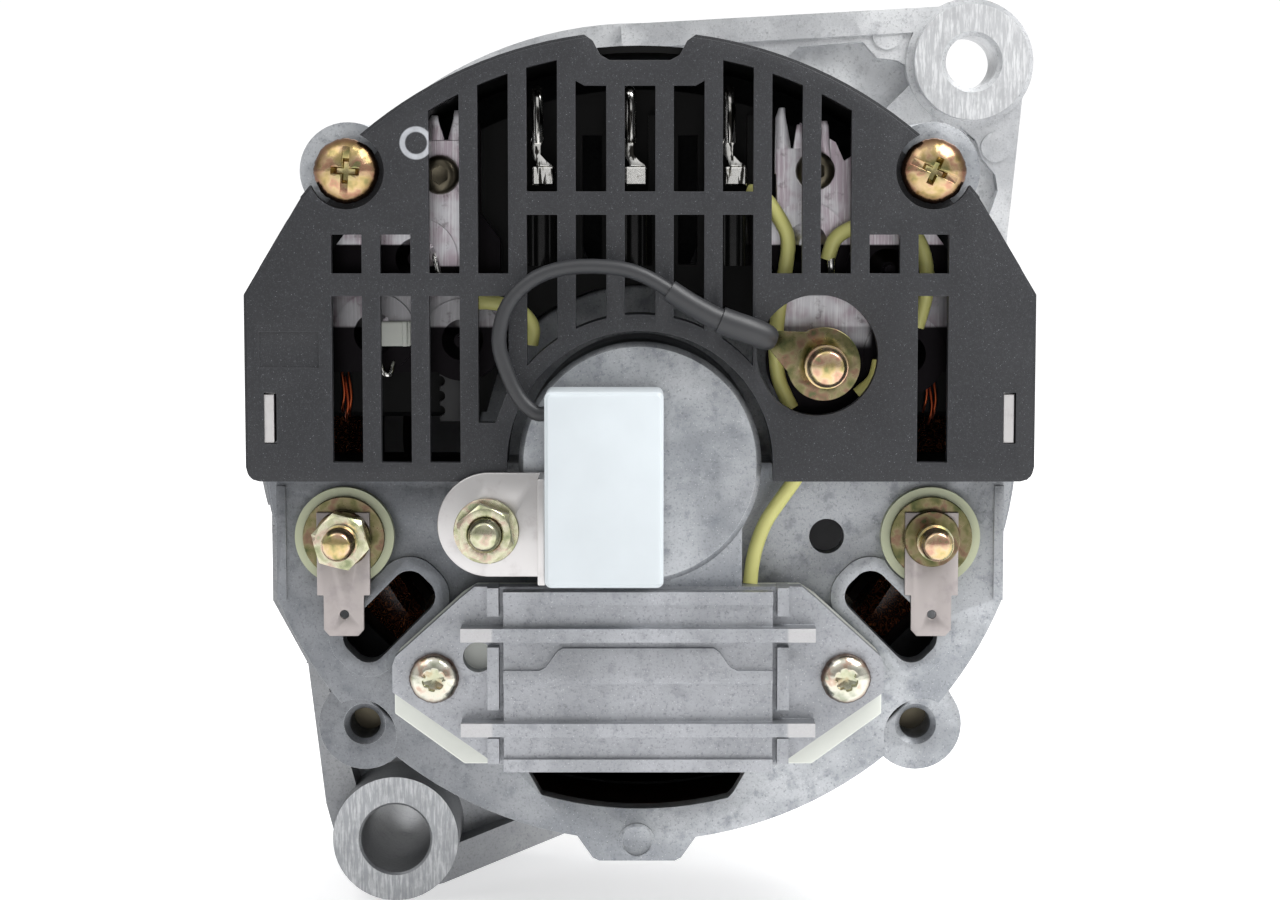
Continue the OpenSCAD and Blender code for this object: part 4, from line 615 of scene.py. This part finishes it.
def laminated():
    """Stack of thin sheets, painted near black as shade inside a radius of 59 mm."""
    f = Finish("stator_sheets")
    sheets = (f.part(1) * (2 * math.pi / (1.0 * MM))).math("SINE")
    rust = f.noise(7, 4, 0.6)
    base = f.mix(sheets.between(-0.9, 0.2), (0.05, 0.05, 0.052), (0.20, 0.195, 0.19))
    base = f.mix(rust.between(0.56, 0.74) * 0.4, base, (0.12, 0.07, 0.045))
    across, up = f.part(0) / MM, f.part(2) / MM
    # Painted shade: near black inside a radius of about 59 mm, deep within the brackets.
    base = f.mix(1 - (across * across + up * up).between(58.9 ** 2, 59.5 ** 2), base, (0.012, 0.007, 0.005))
    f.raise_by(sheets, 0.05, 0.6)
    return f.surface(base, 0.7, 0.5)


def enamelled_copper():
    """Varnished copper wires of the windings, laid side by side round the bore."""
    f = Finish("enamelled_copper")
    wires = (f.noise(1.1, 1, 0.4, f.stretched(1, 0.25, 1)) * 40).math("SINE")
    tint = f.noise(3, 3, 0.6)
    base = f.mix(wires.between(-0.8, 0.6), (0.06, 0.015, 0.006), (0.42, 0.13, 0.04))
    base = f.mix(tint.between(0.4, 0.7) * 0.4, base, (0.20, 0.05, 0.02))
    f.raise_by(wires, 0.12, 0.7)
    return f.surface(base, 0.75, 0.28, **{"Coat Weight": 0.5, "Coat Roughness": 0.15})


REAR_CAST = cast_aluminium("rear_cast_aluminium", (0.30, 0.315, 0.335), (0.50, 0.515, 0.535),
                           (0.22, 0.235, 0.26), "inside")
FRONT_CAST = cast_aluminium("front_cast_aluminium", (0.54, 0.55, 0.565), (0.74, 0.75, 0.76), (0.42, 0.43, 0.45))
SINK_CAST = cast_aluminium("heat_sink_cast", (0.35, 0.36, 0.38), (0.45, 0.46, 0.485), (0.27, 0.28, 0.30), "fin_ends")
REAR_EDGE = worn_and_highlit_edge("rear_cast_edge", (0.74, 0.75, 0.77), True)
FRONT_EDGE = worn_and_highlit_edge("front_cast_edge", (0.80, 0.81, 0.82))
SINK_EDGE = worn_and_highlit_edge("heat_sink_edge", (0.74, 0.75, 0.77))
COVER = moulded_black()
COVER_EDGE = moulded_black("cover_edge", 0.5)
BLACK_EDGE = plain_moulding("dark_grey_moulding", (0.05, 0.05, 0.052), 0.4, gloss=0.3)
BLACK = plain_moulding("black_moulding", (0.006, 0.006, 0.006), 0.45, gloss=0.14)
GLOSSY_BLACK = plain_moulding("black_lacquer", (0.005, 0.005, 0.005), 0.12, gloss=0.3)
NYLON = plain_moulding("white_nylon", (0.74, 0.76, 0.70), 0.38)
WASHER_NYLON = plain_moulding("washer_nylon", (0.50, 0.53, 0.36), 0.34)
CAPACITOR = plain_moulding("capacitor_white", (0.64, 0.69, 0.72), 0.30)
RUBBER = plain_moulding("lead_rubber", (0.030, 0.031, 0.034), 0.40)
YELLOW_LEAD = plain_moulding("yellow_lead", (0.78, 0.76, 0.27), 0.36)
BROWN = plain_moulding("brown_moulding", (0.06, 0.03, 0.016), 0.4)
CARBON = plain_moulding("carbon_brush", (0.02, 0.02, 0.021), 0.5, 0.4)
ZINC = yellow_zinc("yellow_zinc", [
    (0.30, (0.30, 0.29, 0.12)), (0.42, (0.60, 0.46, 0.22)), (0.52, (0.66, 0.50, 0.32)), (0.62, (0.58, 0.34, 0.24)),
    (0.72, (0.40, 0.38, 0.20))])
SCREW_ZINC = yellow_zinc("screw_zinc", [
    (0.30, (0.24, 0.22, 0.09)), (0.42, (0.48, 0.36, 0.16)), (0.52, (0.58, 0.42, 0.24)), (0.62, (0.50, 0.27, 0.18)),
    (0.72, (0.30, 0.28, 0.13))], (44.5, 44.5, 3.0, 4.8))
PALE_ZINC = yellow_zinc("pale_zinc", [
    (0.30, (0.27, 0.30, 0.17)), (0.42, (0.46, 0.46, 0.30)), (0.52, (0.58, 0.56, 0.41)), (0.62, (0.52, 0.40, 0.32)),
    (0.72, (0.34, 0.37, 0.24))])
STAR_ZINC = yellow_zinc("star_zinc", [
    (0.30, (0.42, 0.44, 0.34)), (0.44, (0.66, 0.65, 0.56)), (0.54, (0.70, 0.66, 0.56)), (0.64, (0.58, 0.42, 0.33)),
    (0.74, (0.48, 0.49, 0.38))], (31.8, -33.5, 3.0, 3.9), 0.14)
TINNED = bright_sheet("tinned_sheet", (0.60, 0.585, 0.58), 0.30, (0.44, 0.41, 0.41))
BLADE_METAL = bright_sheet("blade_metal", (0.38, 0.345, 0.335), 0.36, (0.26, 0.235, 0.24))
SOLDER = tin_with_painted_reflections("tinned_ends")
PLATE_METAL = tarnished_sheet("rectifier_plate_metal")
DARK_STEEL = steel("dark_screw_steel", (0.12, 0.105, 0.075), 0.28)
STEEL = steel("bearing_steel", (0.46, 0.46, 0.475))
ROTOR_STEEL = steel("rotor_steel", (0.16, 0.16, 0.165), 0.4)
COPPER = enamelled_copper()
WASHER_ZINC = yellow_zinc("washer_zinc", [
    (0.30, (0.07, 0.08, 0.035)), (0.44, (0.14, 0.13, 0.06)), (0.54, (0.20, 0.17, 0.095)), (0.64, (0.18, 0.11, 0.075)),
    (0.74, (0.09, 0.10, 0.05))], rough=0.22)
DRIVE_ZINC = steel("drive_zinc", (0.40, 0.385, 0.33), 0.3)
RED_COPPER = steel("red_copper_wire", (0.62, 0.13, 0.05), 0.25)
RING_COPPER = steel("slip_ring_copper", (0.66, 0.34, 0.17), 0.25)
SHEETS = laminated()
# Same milled finish twice: a brighter painted-lit copy for the ear face, a darker painted-shaded copy for the pivot
# face.
EAR_FACE = machined_aluminium("milled_ear_face", (0.68, 0.69, 0.705), (0.92, 0.93, 0.94))
PIVOT_FACE = machined_aluminium("milled_pivot_face", (0.36, 0.37, 0.385), (0.58, 0.59, 0.60))

NODE_FINISH = {
    # Through bolts are dark steel as painted shade in their tapped holes.
    "stator_core": SHEETS, "stator_winding": COPPER, "field_coil": COPPER, "through_bolts": DARK_STEEL,
    "rectifier_plate_negative": PLATE_METAL, "rectifier_plate_positive": PLATE_METAL,
    "power_diodes": PLATE_METAL, "terminal_strip": BLACK, "phase_terminals": SOLDER,
    "exciter_diodes": GLOSSY_BLACK, "rectifier_screws": DARK_STEEL, "output_stud": ZINC,
    "output_insulator": NYLON, "output_nut": ZINC, "terminal_studs": ZINC, "terminal_insulators": WASHER_NYLON,
    "terminal_washers": PALE_ZINC, "left_blade": BLADE_METAL, "right_blade": BLADE_METAL,
    "terminal_nuts": PALE_ZINC, "capacitor_stud": PALE_ZINC, "capacitor_nut": PALE_ZINC,
    "lead_sleeve": RUBBER, "lead_ring": PALE_ZINC, "regulator_base": NYLON, "regulator_screws": PALE_ZINC,
    "brush_holder": BLACK, "yellow_leads": YELLOW_LEAD, "rear_bearing_outer": STEEL,
    "rear_bearing_inner": STEEL, "rear_bearing_cage": STEEL, "front_bearing_outer": STEEL,
    "front_bearing_inner": STEEL, "front_bearing_cage": STEEL, "bearing_retainer": STEEL,
    "retainer_screws": PALE_ZINC, "shaft": STEEL, "rear_claw_pole": ROTOR_STEEL,
    "front_claw_pole": ROTOR_STEEL, "slip_rings": RING_COPPER, "slip_ring_hub": BROWN, "fan": DRIVE_ZINC,
    "spacer_ring": STEEL, "pulley_rear_half": DRIVE_ZINC, "pulley_front_half": DRIVE_ZINC,
    "shaft_key": STEEL, "shaft_nut": STEEL, "inner_brush": CARBON, "outer_brush": CARBON,
    "inner_brush_spring": STEEL, "outer_brush_spring": STEEL, "cover_screws": ZINC,
}
for node, finish in NODE_FINISH.items():
    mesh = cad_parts[node].data
    mesh.materials.clear()
    mesh.materials.append(finish)

lead.data.materials.append(RUBBER)

# Castings, mouldings and sheet pieces with rounded edges
settle(casting("rear_bracket", 0.4, edges=REAR_EDGE), "rear_bracket_casting", REAR_CAST, "rear_bracket")
front = casting("front_bracket", 0, edges=FRONT_EDGE)
for centre, size, turn in (
        ((-77.75, 110, -26.75), (20, 40, 18.5), 0), ((-71.65, 110, -43.57), (16, 40, 13.3), -27.3),
        ((-67.6, 110, -60.94), (16, 40, 30), -6.7), ((-74.65, 72.5, -21), (20, 35, 22), 0),
        ((-68.7, 72.5, -40.18), (16, 35, 12.5), -28.2), ((-64.55, 72.5, -59.94), (16, 35, 34.2), -6.7),
        ((76.7, 100, -2.5), (20, 60, 59), 0)):
    carve(front, block("outline", centre, size, turn))
front = settle(smooth(soften(front, 0.5, edge_slot=1)), "front_bracket_casting", FRONT_CAST, "front_bracket")
face_finish(front, EAR_FACE, lambda x, d, z, normal: normal.y < -0.95 and (
    abs(d - 88) < 0.3 and math.hypot(x - 60, z - 64.1) < 10.6
    or math.hypot(x + 25.0, z + 76.4) < 2.6 and d < 106))
face_finish(front, PIVOT_FACE, lambda x, d, z, normal: (
    normal.y < -0.95 and abs(d - 60) < 0.3 and math.hypot(x + 42.9, z + 72.2) < 11.2))
settle(casting("rear_cover", 0.28, edges=COVER_EDGE), "rear_cover_moulding", COVER, "rear_cover")
def shift_points(piece, move, test):
    """Moves the points that pass a test on their rear-view millimetres."""
    edit(piece)
    bpy.ops.mesh.select_all(action="DESELECT")
    points = bmesh.from_edit_mesh(piece.data)
    for vertex in points.verts:
        x, y, z = vertex.co / MM
        vertex.select = test(x, y + GROOVE, z)
    points.select_flush(True)
    bpy.ops.transform.translate(value=(move[0] * MM, move[1] * MM, move[2] * MM))
    bpy.ops.object.mode_set(mode="OBJECT")
    return piece


sink = casting("regulator_heatsink", 0)
shift_points(sink, (0, 0, 3), lambda x, d, z: abs(x) > 37.5 and z < -38)
soften(sink, 0.42, 3, 28, 1)
sink.data.materials.append(SINK_CAST)
sink.data.materials.append(SINK_EDGE)
settle(smooth(sink), "regulator_heat_sink", SINK_CAST, "regulator_heatsink")
base = casting("regulator_base", 0)
for side in (-1, 1):
    shift_points(base, (side * 2.6, 0, 2.4), lambda x, d, z: z < -49.8 and x * side > 20)
    shift_points(base, (0, 0, 2.3), lambda x, d, z: z < -41.8 and x * side > 37)
settle(smooth(soften(base, 0.2)), "regulator_nylon_base", NYLON, "regulator_base")
settle(casting("capacitor_case", 0.35), "capacitor_body", CAPACITOR, "capacitor_case")
settle(casting("capacitor_bracket", 0.2), "capacitor_strap", TINNED, "capacitor_bracket")

# Screws, nuts and studs
def threads(start, end, radius, pitch):
    """Rings of a threaded length."""
    rings = []
    for i in range(int((end - start) / pitch + 0.01)):
        rings += [(start + i * pitch, radius - 0.3 * pitch), (start + (i + 0.5) * pitch, radius)]
    return rings + [(end, radius - 0.3 * pitch)]


def stud(x, z, tip, end, radius, pitch, thread_end):
    """Threaded stud with a chamfered tip, plain behind its nut."""
    rings = [(tip, 0), (tip, radius - 0.8), (tip + 0.12, radius - 0.65), (tip + 0.5, radius - 0.3 * pitch)]
    rings += threads(tip + 0.6, thread_end, radius, pitch) + [(thread_end + 0.3, radius), (end, radius), (end, 0)]
    return smooth(turned("stud", x, z, rings, 40), 50)


def nut(x, z, front, back, across, bore, turn, collar=0):
    """Hexagon nut with its chamfer and countersunk bore, and a round collar if it has one."""
    corner = across / math.sqrt(3)
    flare = 0.55
    body = turned("nut", x, z, [(front, 0), (front, corner), (back, corner), (back, 0)], 6, turn + 30)
    carve(body, turned("cone", x, z, [
        (front, 0), (front, across / 2 * 0.97), (front + flare, corner + 0.1), (back - flare / 2, corner + 0.1),
        (back, across / 2), (back, 0)], 72), "INTERSECT")
    if collar:
        skirt = turned("skirt", x, z, [
            (back - 1.5, 0), (back - 1.5, across / 2 - 0.3), (back - 0.8, collar - 0.55), (back - 0.35, collar - 0.06),
            (back + 0.2, collar), (back + 0.6, collar - 0.05), (back + 0.6, 0)], 72)
        carve(body, skirt, "UNION")
    carve(body, turned("bore", x, z, [
        (front - 1, 0), (front - 1, bore + 0.3), (front, bore + 0.3), (front + 0.3, bore), (back + 2, bore),
        (back + 2, 0)], 48))
    return smooth(soften(body, 0.12), 30)


def ring(x, z, front, back, outer, inner, edge=0.12):
    """Washer or collar with broken edges."""
    return smooth(turned("ring", x, z, [
        (front, inner), (front, outer - edge), (front + edge, outer), (back - edge, outer), (back, outer - edge),
        (back, inner), (front, inner)], 72), 30)


def screw_head(x, z, seat, dome, sides=72):
    """Head built up from its seat through rings of (height, radius)."""
    return turned("head", x, z, [(seat, 0)] + [(seat - h, r) for h, r in dome], sides)


def cross_screw(x, z, turn):
    """Cover screw with a cross recess and a slot."""
    seat = 2.2
    head = screw_head(x, z, seat, [
        (0, 4.8), (0.25, 4.95), (1.1, 4.95), (1.5, 4.8), (2.1, 4.3), (2.7, 3.5), (3.2, 2.3), (3.4, 1.1), (3.42, 0)])
    carve(head, block("slot", (x, seat - 3.3, z), (1.15, 1.5, 8.6), turn, 0.1))
    for angle in (0, 90):
        bit = block("cross", (x, seat - 2.6, z), (1.25, 3.0, 5.0), turn + angle)
        edit(bit)
        bpy.ops.mesh.select_all(action="DESELECT")
        select_where(bit, lambda centre, normal: normal.y > 0.9)
        bpy.ops.transform.resize(value=(0.55, 1, 0.55), center_override=at(x, seat - 1.1, z))
        bpy.ops.object.mode_set(mode="OBJECT")
        carve(head, bit)
    shank = turned("shank", x, z, [(seat - 0.5, 0), (seat - 0.5, 2.5), (25.5, 2.5), (25.5, 0)], 32)
    return smooth(soften(joined([head, shank]), 0.07), 32)


def star_screw(x, z, seat, turn):
    """Regulator screw with a six-lobed recess."""
    head = screw_head(x, z, seat, [
        (0, 3.6), (0.15, 3.85), (0.9, 3.85), (1.5, 3.55), (2.1, 2.85), (2.45, 2.0), (2.55, 1.0), (2.57, 0)])
    star = turned("star", x, z, [(seat - 3, 0), (seat - 3, 1.75), (seat - 0.9, 1.75), (seat - 0.7, 0)], 24, turn)
    edit(star)
    bpy.ops.mesh.select_all(action="DESELECT")
    points = bmesh.from_edit_mesh(star.data)
    for vertex in points.verts:
        gap = vertex.co - at(x, 0, z)
        lobe = math.degrees(math.atan2(gap.x, gap.z)) - turn
        vertex.select = math.hypot(gap.x, gap.z) > MM and abs((lobe + 30) % 60 - 30) > 16
    points.select_flush(True)
    bpy.ops.transform.resize(value=(0.74, 1, 0.74), center_override=at(x, 0, z))
    bpy.ops.object.mode_set(mode="OBJECT")
    carve(head, star)
    shank = turned("shank", x, z, [(seat - 0.5, 0), (seat - 0.5, 2), (15.5, 2), (15.5, 0)], 32)
    return smooth(soften(joined([head, shank]), 0.06), 32)


def socket_screw(x, z, seat, end):
    """Rectifier screw: round head with a deep hexagon socket."""
    head = screw_head(x, z, seat, [
        (0, 2.9), (0.1, 3.0), (1.6, 3.0), (2.3, 2.8), (2.8, 2.3), (3.0, 1.6), (3.0, 0)], 48)
    carve(head, turned("socket", x, z, [(seat - 4, 0), (seat - 4, 1.5), (seat - 1.0, 1.5), (seat - 0.6, 0)], 6))
    shank = turned("shank", x, z, [(seat - 0.2, 0), (seat - 0.2, 2), (end, 2), (end, 0)], 24)
    return smooth(joined([head, shank]), 40)


LEFT_POST, RIGHT_POST, POST_Z = -46.2, 45.4, -12.4
OUT = (27.9, 15.3)
STRAP_STUD = (-23.4, -10.1)
settle(joined([cross_screw(-44.5, 44.5, 4), cross_screw(44.5, 44.5, -66)]),
       "cover_cross_screws", SCREW_ZINC, "cover_screws")
settle(joined([star_screw(-31.8, -33.5, 3, 10), star_screw(31.8, -33.5, 3, -14)]),
       "regulator_star_screws", STAR_ZINC, "regulator_screws")
settle(joined([socket_screw(x, z, 8.4, 27) for x, z in
               [(-30.7, 43.9), (26.9, 44.5), (-51.6, 15.6), (51.6, 15.6)]]),
       "rectifier_socket_screws", DARK_STEEL, "rectifier_screws")
settle(joined([nut(x, POST_Z, 2.9, 6.9, 8, 2.5, 14) for x in (LEFT_POST, RIGHT_POST)]),
       "post_nuts", PALE_ZINC, "terminal_nuts")
settle(nut(*OUT, -6.4, -1.0, 10, 3, 12, collar=5.9), "output_collar_nut", ZINC)
settle(joined([ring(*OUT, 1, 8.4, 5.2, 3), bpy.context.scene.objects["output_collar_nut"]]),
       "output_nut_and_spacer", ZINC, "output_nut")
settle(joined([stud(x, POST_Z, -2, 18, 2.5, 0.8, 6) for x in (LEFT_POST, RIGHT_POST)]
              + [turned("bolt_head", x, POST_Z, [(18, 0), (18, 4), (21, 4), (21, 0)], 6) for x in (LEFT_POST, RIGHT_POST)]),
       "post_studs", ZINC, "terminal_studs")
settle(joined([stud(*OUT, -9.8, 30.5, 3, 1.0, 0), turned("bolt_head", *OUT, [(30.5, 0), (30.5, 5), (34, 5), (34, 0)], 6)]),
       "output_threaded_stud", ZINC, "output_stud")
settle(stud(*STRAP_STUD, -8.5, 16, 2.5, 0.8, 0), "strap_stud", PALE_ZINC, "capacitor_stud")
settle(joined([nut(*STRAP_STUD, -6, -2, 8, 2.5, 20), ring(*STRAP_STUD, -2, -1.2, 5, 2.5)]),
       "strap_nut", PALE_ZINC, "capacitor_nut")
washers = []
for x in (LEFT_POST, RIGHT_POST):
    washers += [ring(x, POST_Z, 8.7, 9.8, 6.4, 2.5), ring(x, POST_Z, 6.9, 7.9, 4.4, 2.5, 0.2)]
settle(joined(washers), "post_washers", WASHER_ZINC, "terminal_washers")
for side in ("left", "right"):
    settle(casting(side + "_blade", 0.15), side + "_blade_terminal", BLADE_METAL, side + "_blade")



# Phase wires, rectifier prongs and other pieces behind the windows
def wire(name, points, radius, steps=5):
    """Round wire through points of (x, depth, z) in millimetres, as a mesh."""
    route = [at(x, d, z) for x, d, z in smooth_route(points, steps)]
    piece = flexible(name, route, [radius] * len(route))
    take(piece)
    bpy.ops.object.convert(target="MESH")
    return smooth(bpy.context.object, 60)


tails = []
for x in (-15.2, -1.0, 14.2):
    tails.append(wire("tail", [
        (x - 0.6, 10.8, 56.6), (x - 0.6, 7.2, 56.4), (x - 0.5, 6.2, 54.2), (x - 0.5, 6.0, 51.2), (x - 0.4, 6.1, 48.8)], 0.95))
    tails.append(ribbon("tail", [
        (x - 0.4, 6.0, 49.6, 1.9), (x - 0.8, 5.6, 48.2, 1.7), (x - 0.7, 5.3, 46.9, 1.5), (x + 0.1, 5.0, 45.9, 1.8),
        (x + 0.7, 4.9, 45.2, 2.6)], 0.7))
    tails.append(block("tail", (x + 0.4, 6.4, 43.7), (3.5, 3.6, 3.0), 0, 0.35))
    tails.append(block("tail", (x + 0.2, 8.8, 43.2), (2.2, 5.2, 1.6), 0, 0.3))
settle(joined(tails), "phase_wire_tails", SOLDER, "phase_terminals")

prongs = [
    ribbon("prong", [(-31.4, 8.6, 45.5, 3.2), (-31.4, 8.6, 49.6, 2.6), (-31.7, 8.5, 52.0, 1.7), (-31.5, 8.5, 53.0, 1.0)], 1.2),
    ribbon("prong", [(-28.6, 8.6, 45.0, 3.2), (-28.3, 8.6, 49.4, 2.4), (-27.9, 8.5, 52.4, 1.6), (-28.1, 8.5, 53.8, 0.9)], 1.2),
    block("root", (-29.9, 8.6, 46.6), (6.2, 1.3, 5.4), 0, 0.2),
    ribbon("prong", [(22.2, 8.6, 44.0, 3.0), (21.9, 8.6, 49.0, 2.3), (21.6, 8.5, 52.6, 1.6), (21.8, 8.5, 54.2, 0.9)], 1.2),
    ribbon("prong", [(24.4, 8.6, 44.0, 2.8), (24.7, 8.6, 48.6, 2.2), (24.7, 8.5, 50.6, 1.6), (24.5, 8.5, 51.6, 0.9)], 1.2),
    block("root", (23.2, 8.6, 41.0), (4.6, 1.3, 14), 0, 0.2),
    ribbon("prong", [(28.4, 8.6, 45.0, 2.2), (28.2, 8.6, 48.6, 1.9), (28.2, 8.5, 51.4, 1.6), (28.2, 8.5, 52.2, 1.0)], 1.2),
]
settle(joined(prongs), "rectifier_prongs", PLATE_METAL)

# Black ring inside the cover's arc, put there as painted shade
baffle = turned("baffle", 0, 0, [(4, 62.4), (4, 63.45), (26.5, 63.45), (26.5, 60.9), (22, 61.7), (10, 61.7), (4, 62.4)], 128)
carve(baffle, block("low", (0, 18, -33), (150, 30, 140)))
for x in (-44.5, 44.5):
    carve(baffle, turned("lug", x, 44.5, [(0, 0), (0, 9.2), (40, 9.2), (40, 0)], 48))
settle(smooth(baffle), "painted_shade_ring", BLACK)

strands = []
for x, z in ((-46.6, 14), (-46.0, 12.5), (-45.5, 13.4), (44.2, 14), (45.0, 12), (45.6, 13)):
    strands.append(wire("strand", [
        (x, 11.6, z), (x + 0.2, 10.9, z - 1.2), (x + 0.5, 10.7, z - 4), (x + 0.2, 11.0, z - 6), (x + 0.1, 12.4, z - 7)], 0.22, 4))
settle(joined(strands), "winding_strands", RED_COPPER)

tongues = [block("tongue", (x, 1.9, 6.9), (1.7, 3.0, 7.5), 0, 0.12) for x in (-56.6, 56.2)]
settle(joined(tongues), "cover_spring_tongues", TINNED)

guide = block("guide", (-37.9, 7.3, 19.5), (5.2, 2.3, 3.8), 0, 0.3)
guide_rib = block("rib", (-36.2, 6.0, 19.5), (0.8, 0.8, 3.8), 0, 0.15)
settle(joined([guide, guide_rib]), "diode_guide", NYLON)
comb = block("comb", (-28.9, 10.6, 12), (4.4, 3, 12.6), 0, 0.15)
for step in range(5):
    carve(comb, turned("bite", -31.1, 7.4 + 2.3 * step, [(6, 0), (6, 0.85), (16, 0.85), (16, 0)], 16))
settle(smooth(comb), "strip_comb", BLACK_EDGE)
settle(joined([
    wire("curl", [(-40.2, 8.2, 15.6), (-40.0, 6.6, 14.6), (-39.5, 6.2, 13.4), (-38.6, 6.4, 13.2), (-38.3, 7.4, 14.4),
                  (-38.0, 8.6, 15.4)], 0.42),
    wire("curl", [(-31.9, 8.6, 32.0), (-31.7, 7.2, 31.2), (-31.2, 6.8, 29.6), (-30.8, 7.0, 28.2), (-30.6, 8.6, 27.0)], 0.5),
    wire("post", [(29.2, 8.6, 31.6), (29.2, 6.0, 31.4), (29.3, 5.6, 30.2), (29.3, 5.8, 28.6)], 0.75)]),
    "diode_wire_ends", SOLDER)

LEADS = [
    [(16.8, 6.4, 41.4), (18.6, 5.4, 40.8), (20.6, 5, 38.4), (22.6, 5.2, 34.4), (22.3, 5.6, 29.4), (21.4, 5.6, 24),
     (20.9, 6, 18), (21.4, 6.6, 12.6), (23.4, 6.8, 8)],
    [(28.8, 6, 31), (30, 5.6, 34.2), (33, 5.4, 36), (37.4, 5.4, 36.8), (41.4, 5.6, 35.6), (43.6, 5.6, 31.6),
     (44, 5.8, 26), (42.6, 6, 20.6)],
    [(-27.2, 6, 24.2), (-23.4, 5.8, 24.4), (-19, 5.8, 23.4), (-16.6, 5.8, 20.8), (-16.8, 6, 17.9)],
    [(33.6, 6, 10.2), (36, 5.8, 12.4), (36.9, 6, 15.4)],
    [(27.4, 7.4, 5.6), (26.2, 8.2, 1.2), (24.4, 8.6, -2.8), (21.8, 8.8, -6.6), (19.6, 9, -10), (18.2, 9, -13.6),
     (17.5, 8.8, -16.8), (17.2, 8.4, -19.6)],
]
settle(joined([wire("lead", points, 1.15, 6) for points in LEADS]), "yellow_lead_wires", YELLOW_LEAD, "yellow_leads")

sleeve_route = smooth_route(SLEEVE_POINTS, 6)
sleeve_route = sleeve_route[:12] + [sleeve_route[12], Vector(sleeve_route[12]).lerp(Vector(sleeve_route[13]), 0.15)] + sleeve_route[13:]
sleeve_radii = [1.72] * 13 + [2.12] * (len(sleeve_route) - 16) + [2.0, 1.8, 1.5]
sleeve = flexible("sleeve", [at(x, LEAD_DEPTH + d, z) for x, d, z in sleeve_route], sleeve_radii)
take(sleeve)
bpy.ops.object.convert(target="MESH")
sleeve = settle(smooth(bpy.context.object, 40), "two_step_sleeve", RUBBER, "lead_sleeve")

# Drive parts and other plain pieces with broken edges
for node, width, finish in (
        ("pulley_rear_half", 0.35, DRIVE_ZINC), ("pulley_front_half", 0.35, DRIVE_ZINC), ("fan", 0.25, DRIVE_ZINC),
        ("shaft_nut", 0.3, STEEL), ("spacer_ring", 0.2, STEEL), ("shaft", 0.25, STEEL)):
    settle(casting(node, width), node + "_finished", finish, node, ROTOR)
settle(casting("stator_core", 0.2), "stator_sheet_stack", SHEETS, "stator_core")
settle(casting("lead_ring", 0.12), "lead_ring_terminal", WASHER_ZINC, "lead_ring")

# Floor, light and surroundings
deselect()
bpy.ops.mesh.primitive_plane_add(size=8, location=(0, 0.4, cad_box[0][2] - 0.0002))
floor = bpy.context.object
floor.name = "floor"
floor_finish = Finish("floor_white")
floor.data.materials.append(floor_finish.surface(
    (0.72, 0.72, 0.725), 0.0, 0.8, **{"Emission Color": (1, 1, 1, 1), "Emission Strength": 0.55}))


def softbox(name, place, aim, size, power):
    """Large soft lamp that looks at a point of the object."""
    lamp = bpy.data.lights.new(name, "AREA")
    lamp.shape = "RECTANGLE"
    lamp.size, lamp.size_y = size
    lamp.energy = power
    holder = bpy.data.objects.new(name, lamp)
    bpy.context.scene.collection.objects.link(holder)
    holder.visible_camera = False
    holder.location = place
    holder.rotation_euler = (Vector(aim) - Vector(place)).to_track_quat("-Z", "Y").to_euler()


CENTRE = (0, -0.12, 0)
softbox("upper_right_box", (0.25, -0.30, 0.36), CENTRE, (0.24, 0.26), 1.75)
softbox("upper_left_box", (-0.45, -0.5, 0.68), CENTRE, (0.4, 0.45), 0.8)
softbox("back_box", (0.2, 0.65, 0.6), (0, -0.02, 0), (0.8, 0.5), 3.2)

# White tent, dimmer where the photographer stands and brighter overhead
tent = bpy.data.worlds.new("white_tent")
bpy.context.scene.world = tent
tent.use_nodes = True
nodes, links = tent.node_tree.nodes, tent.node_tree.links
direction = nodes.new("ShaderNodeSeparateXYZ")
links.new(nodes.new("ShaderNodeTexCoord").outputs["Generated"], direction.inputs[0])
shares = []
for axis, start, end, low, high in ((1, -0.95, -0.35, 0.34, 0.58), (2, 0.05, 0.85, 0.0, 0.42)):
    share = nodes.new("ShaderNodeMapRange")
    share.interpolation_type = "SMOOTHSTEP"
    for key, number in (("From Min", start), ("From Max", end), ("To Min", low), ("To Max", high)):
        share.inputs[key].default_value = number
    links.new(direction.outputs[axis], share.inputs["Value"])
    shares.append(share)
light = nodes.new("ShaderNodeMath")
links.new(shares[0].outputs[0], light.inputs[0])
links.new(shares[1].outputs[0], light.inputs[1])
seen = nodes.new("ShaderNodeMix")
links.new(nodes.new("ShaderNodeLightPath").outputs["Is Camera Ray"], seen.inputs["Factor"])
links.new(light.outputs[0], seen.inputs[2])
seen.inputs[3].default_value = 1.05
links.new(seen.outputs[0], nodes["Background"].inputs["Strength"])
nodes["Background"].inputs["Color"].default_value = (1, 1, 1, 1)
bpy.context.scene.view_settings.view_transform = "Standard"
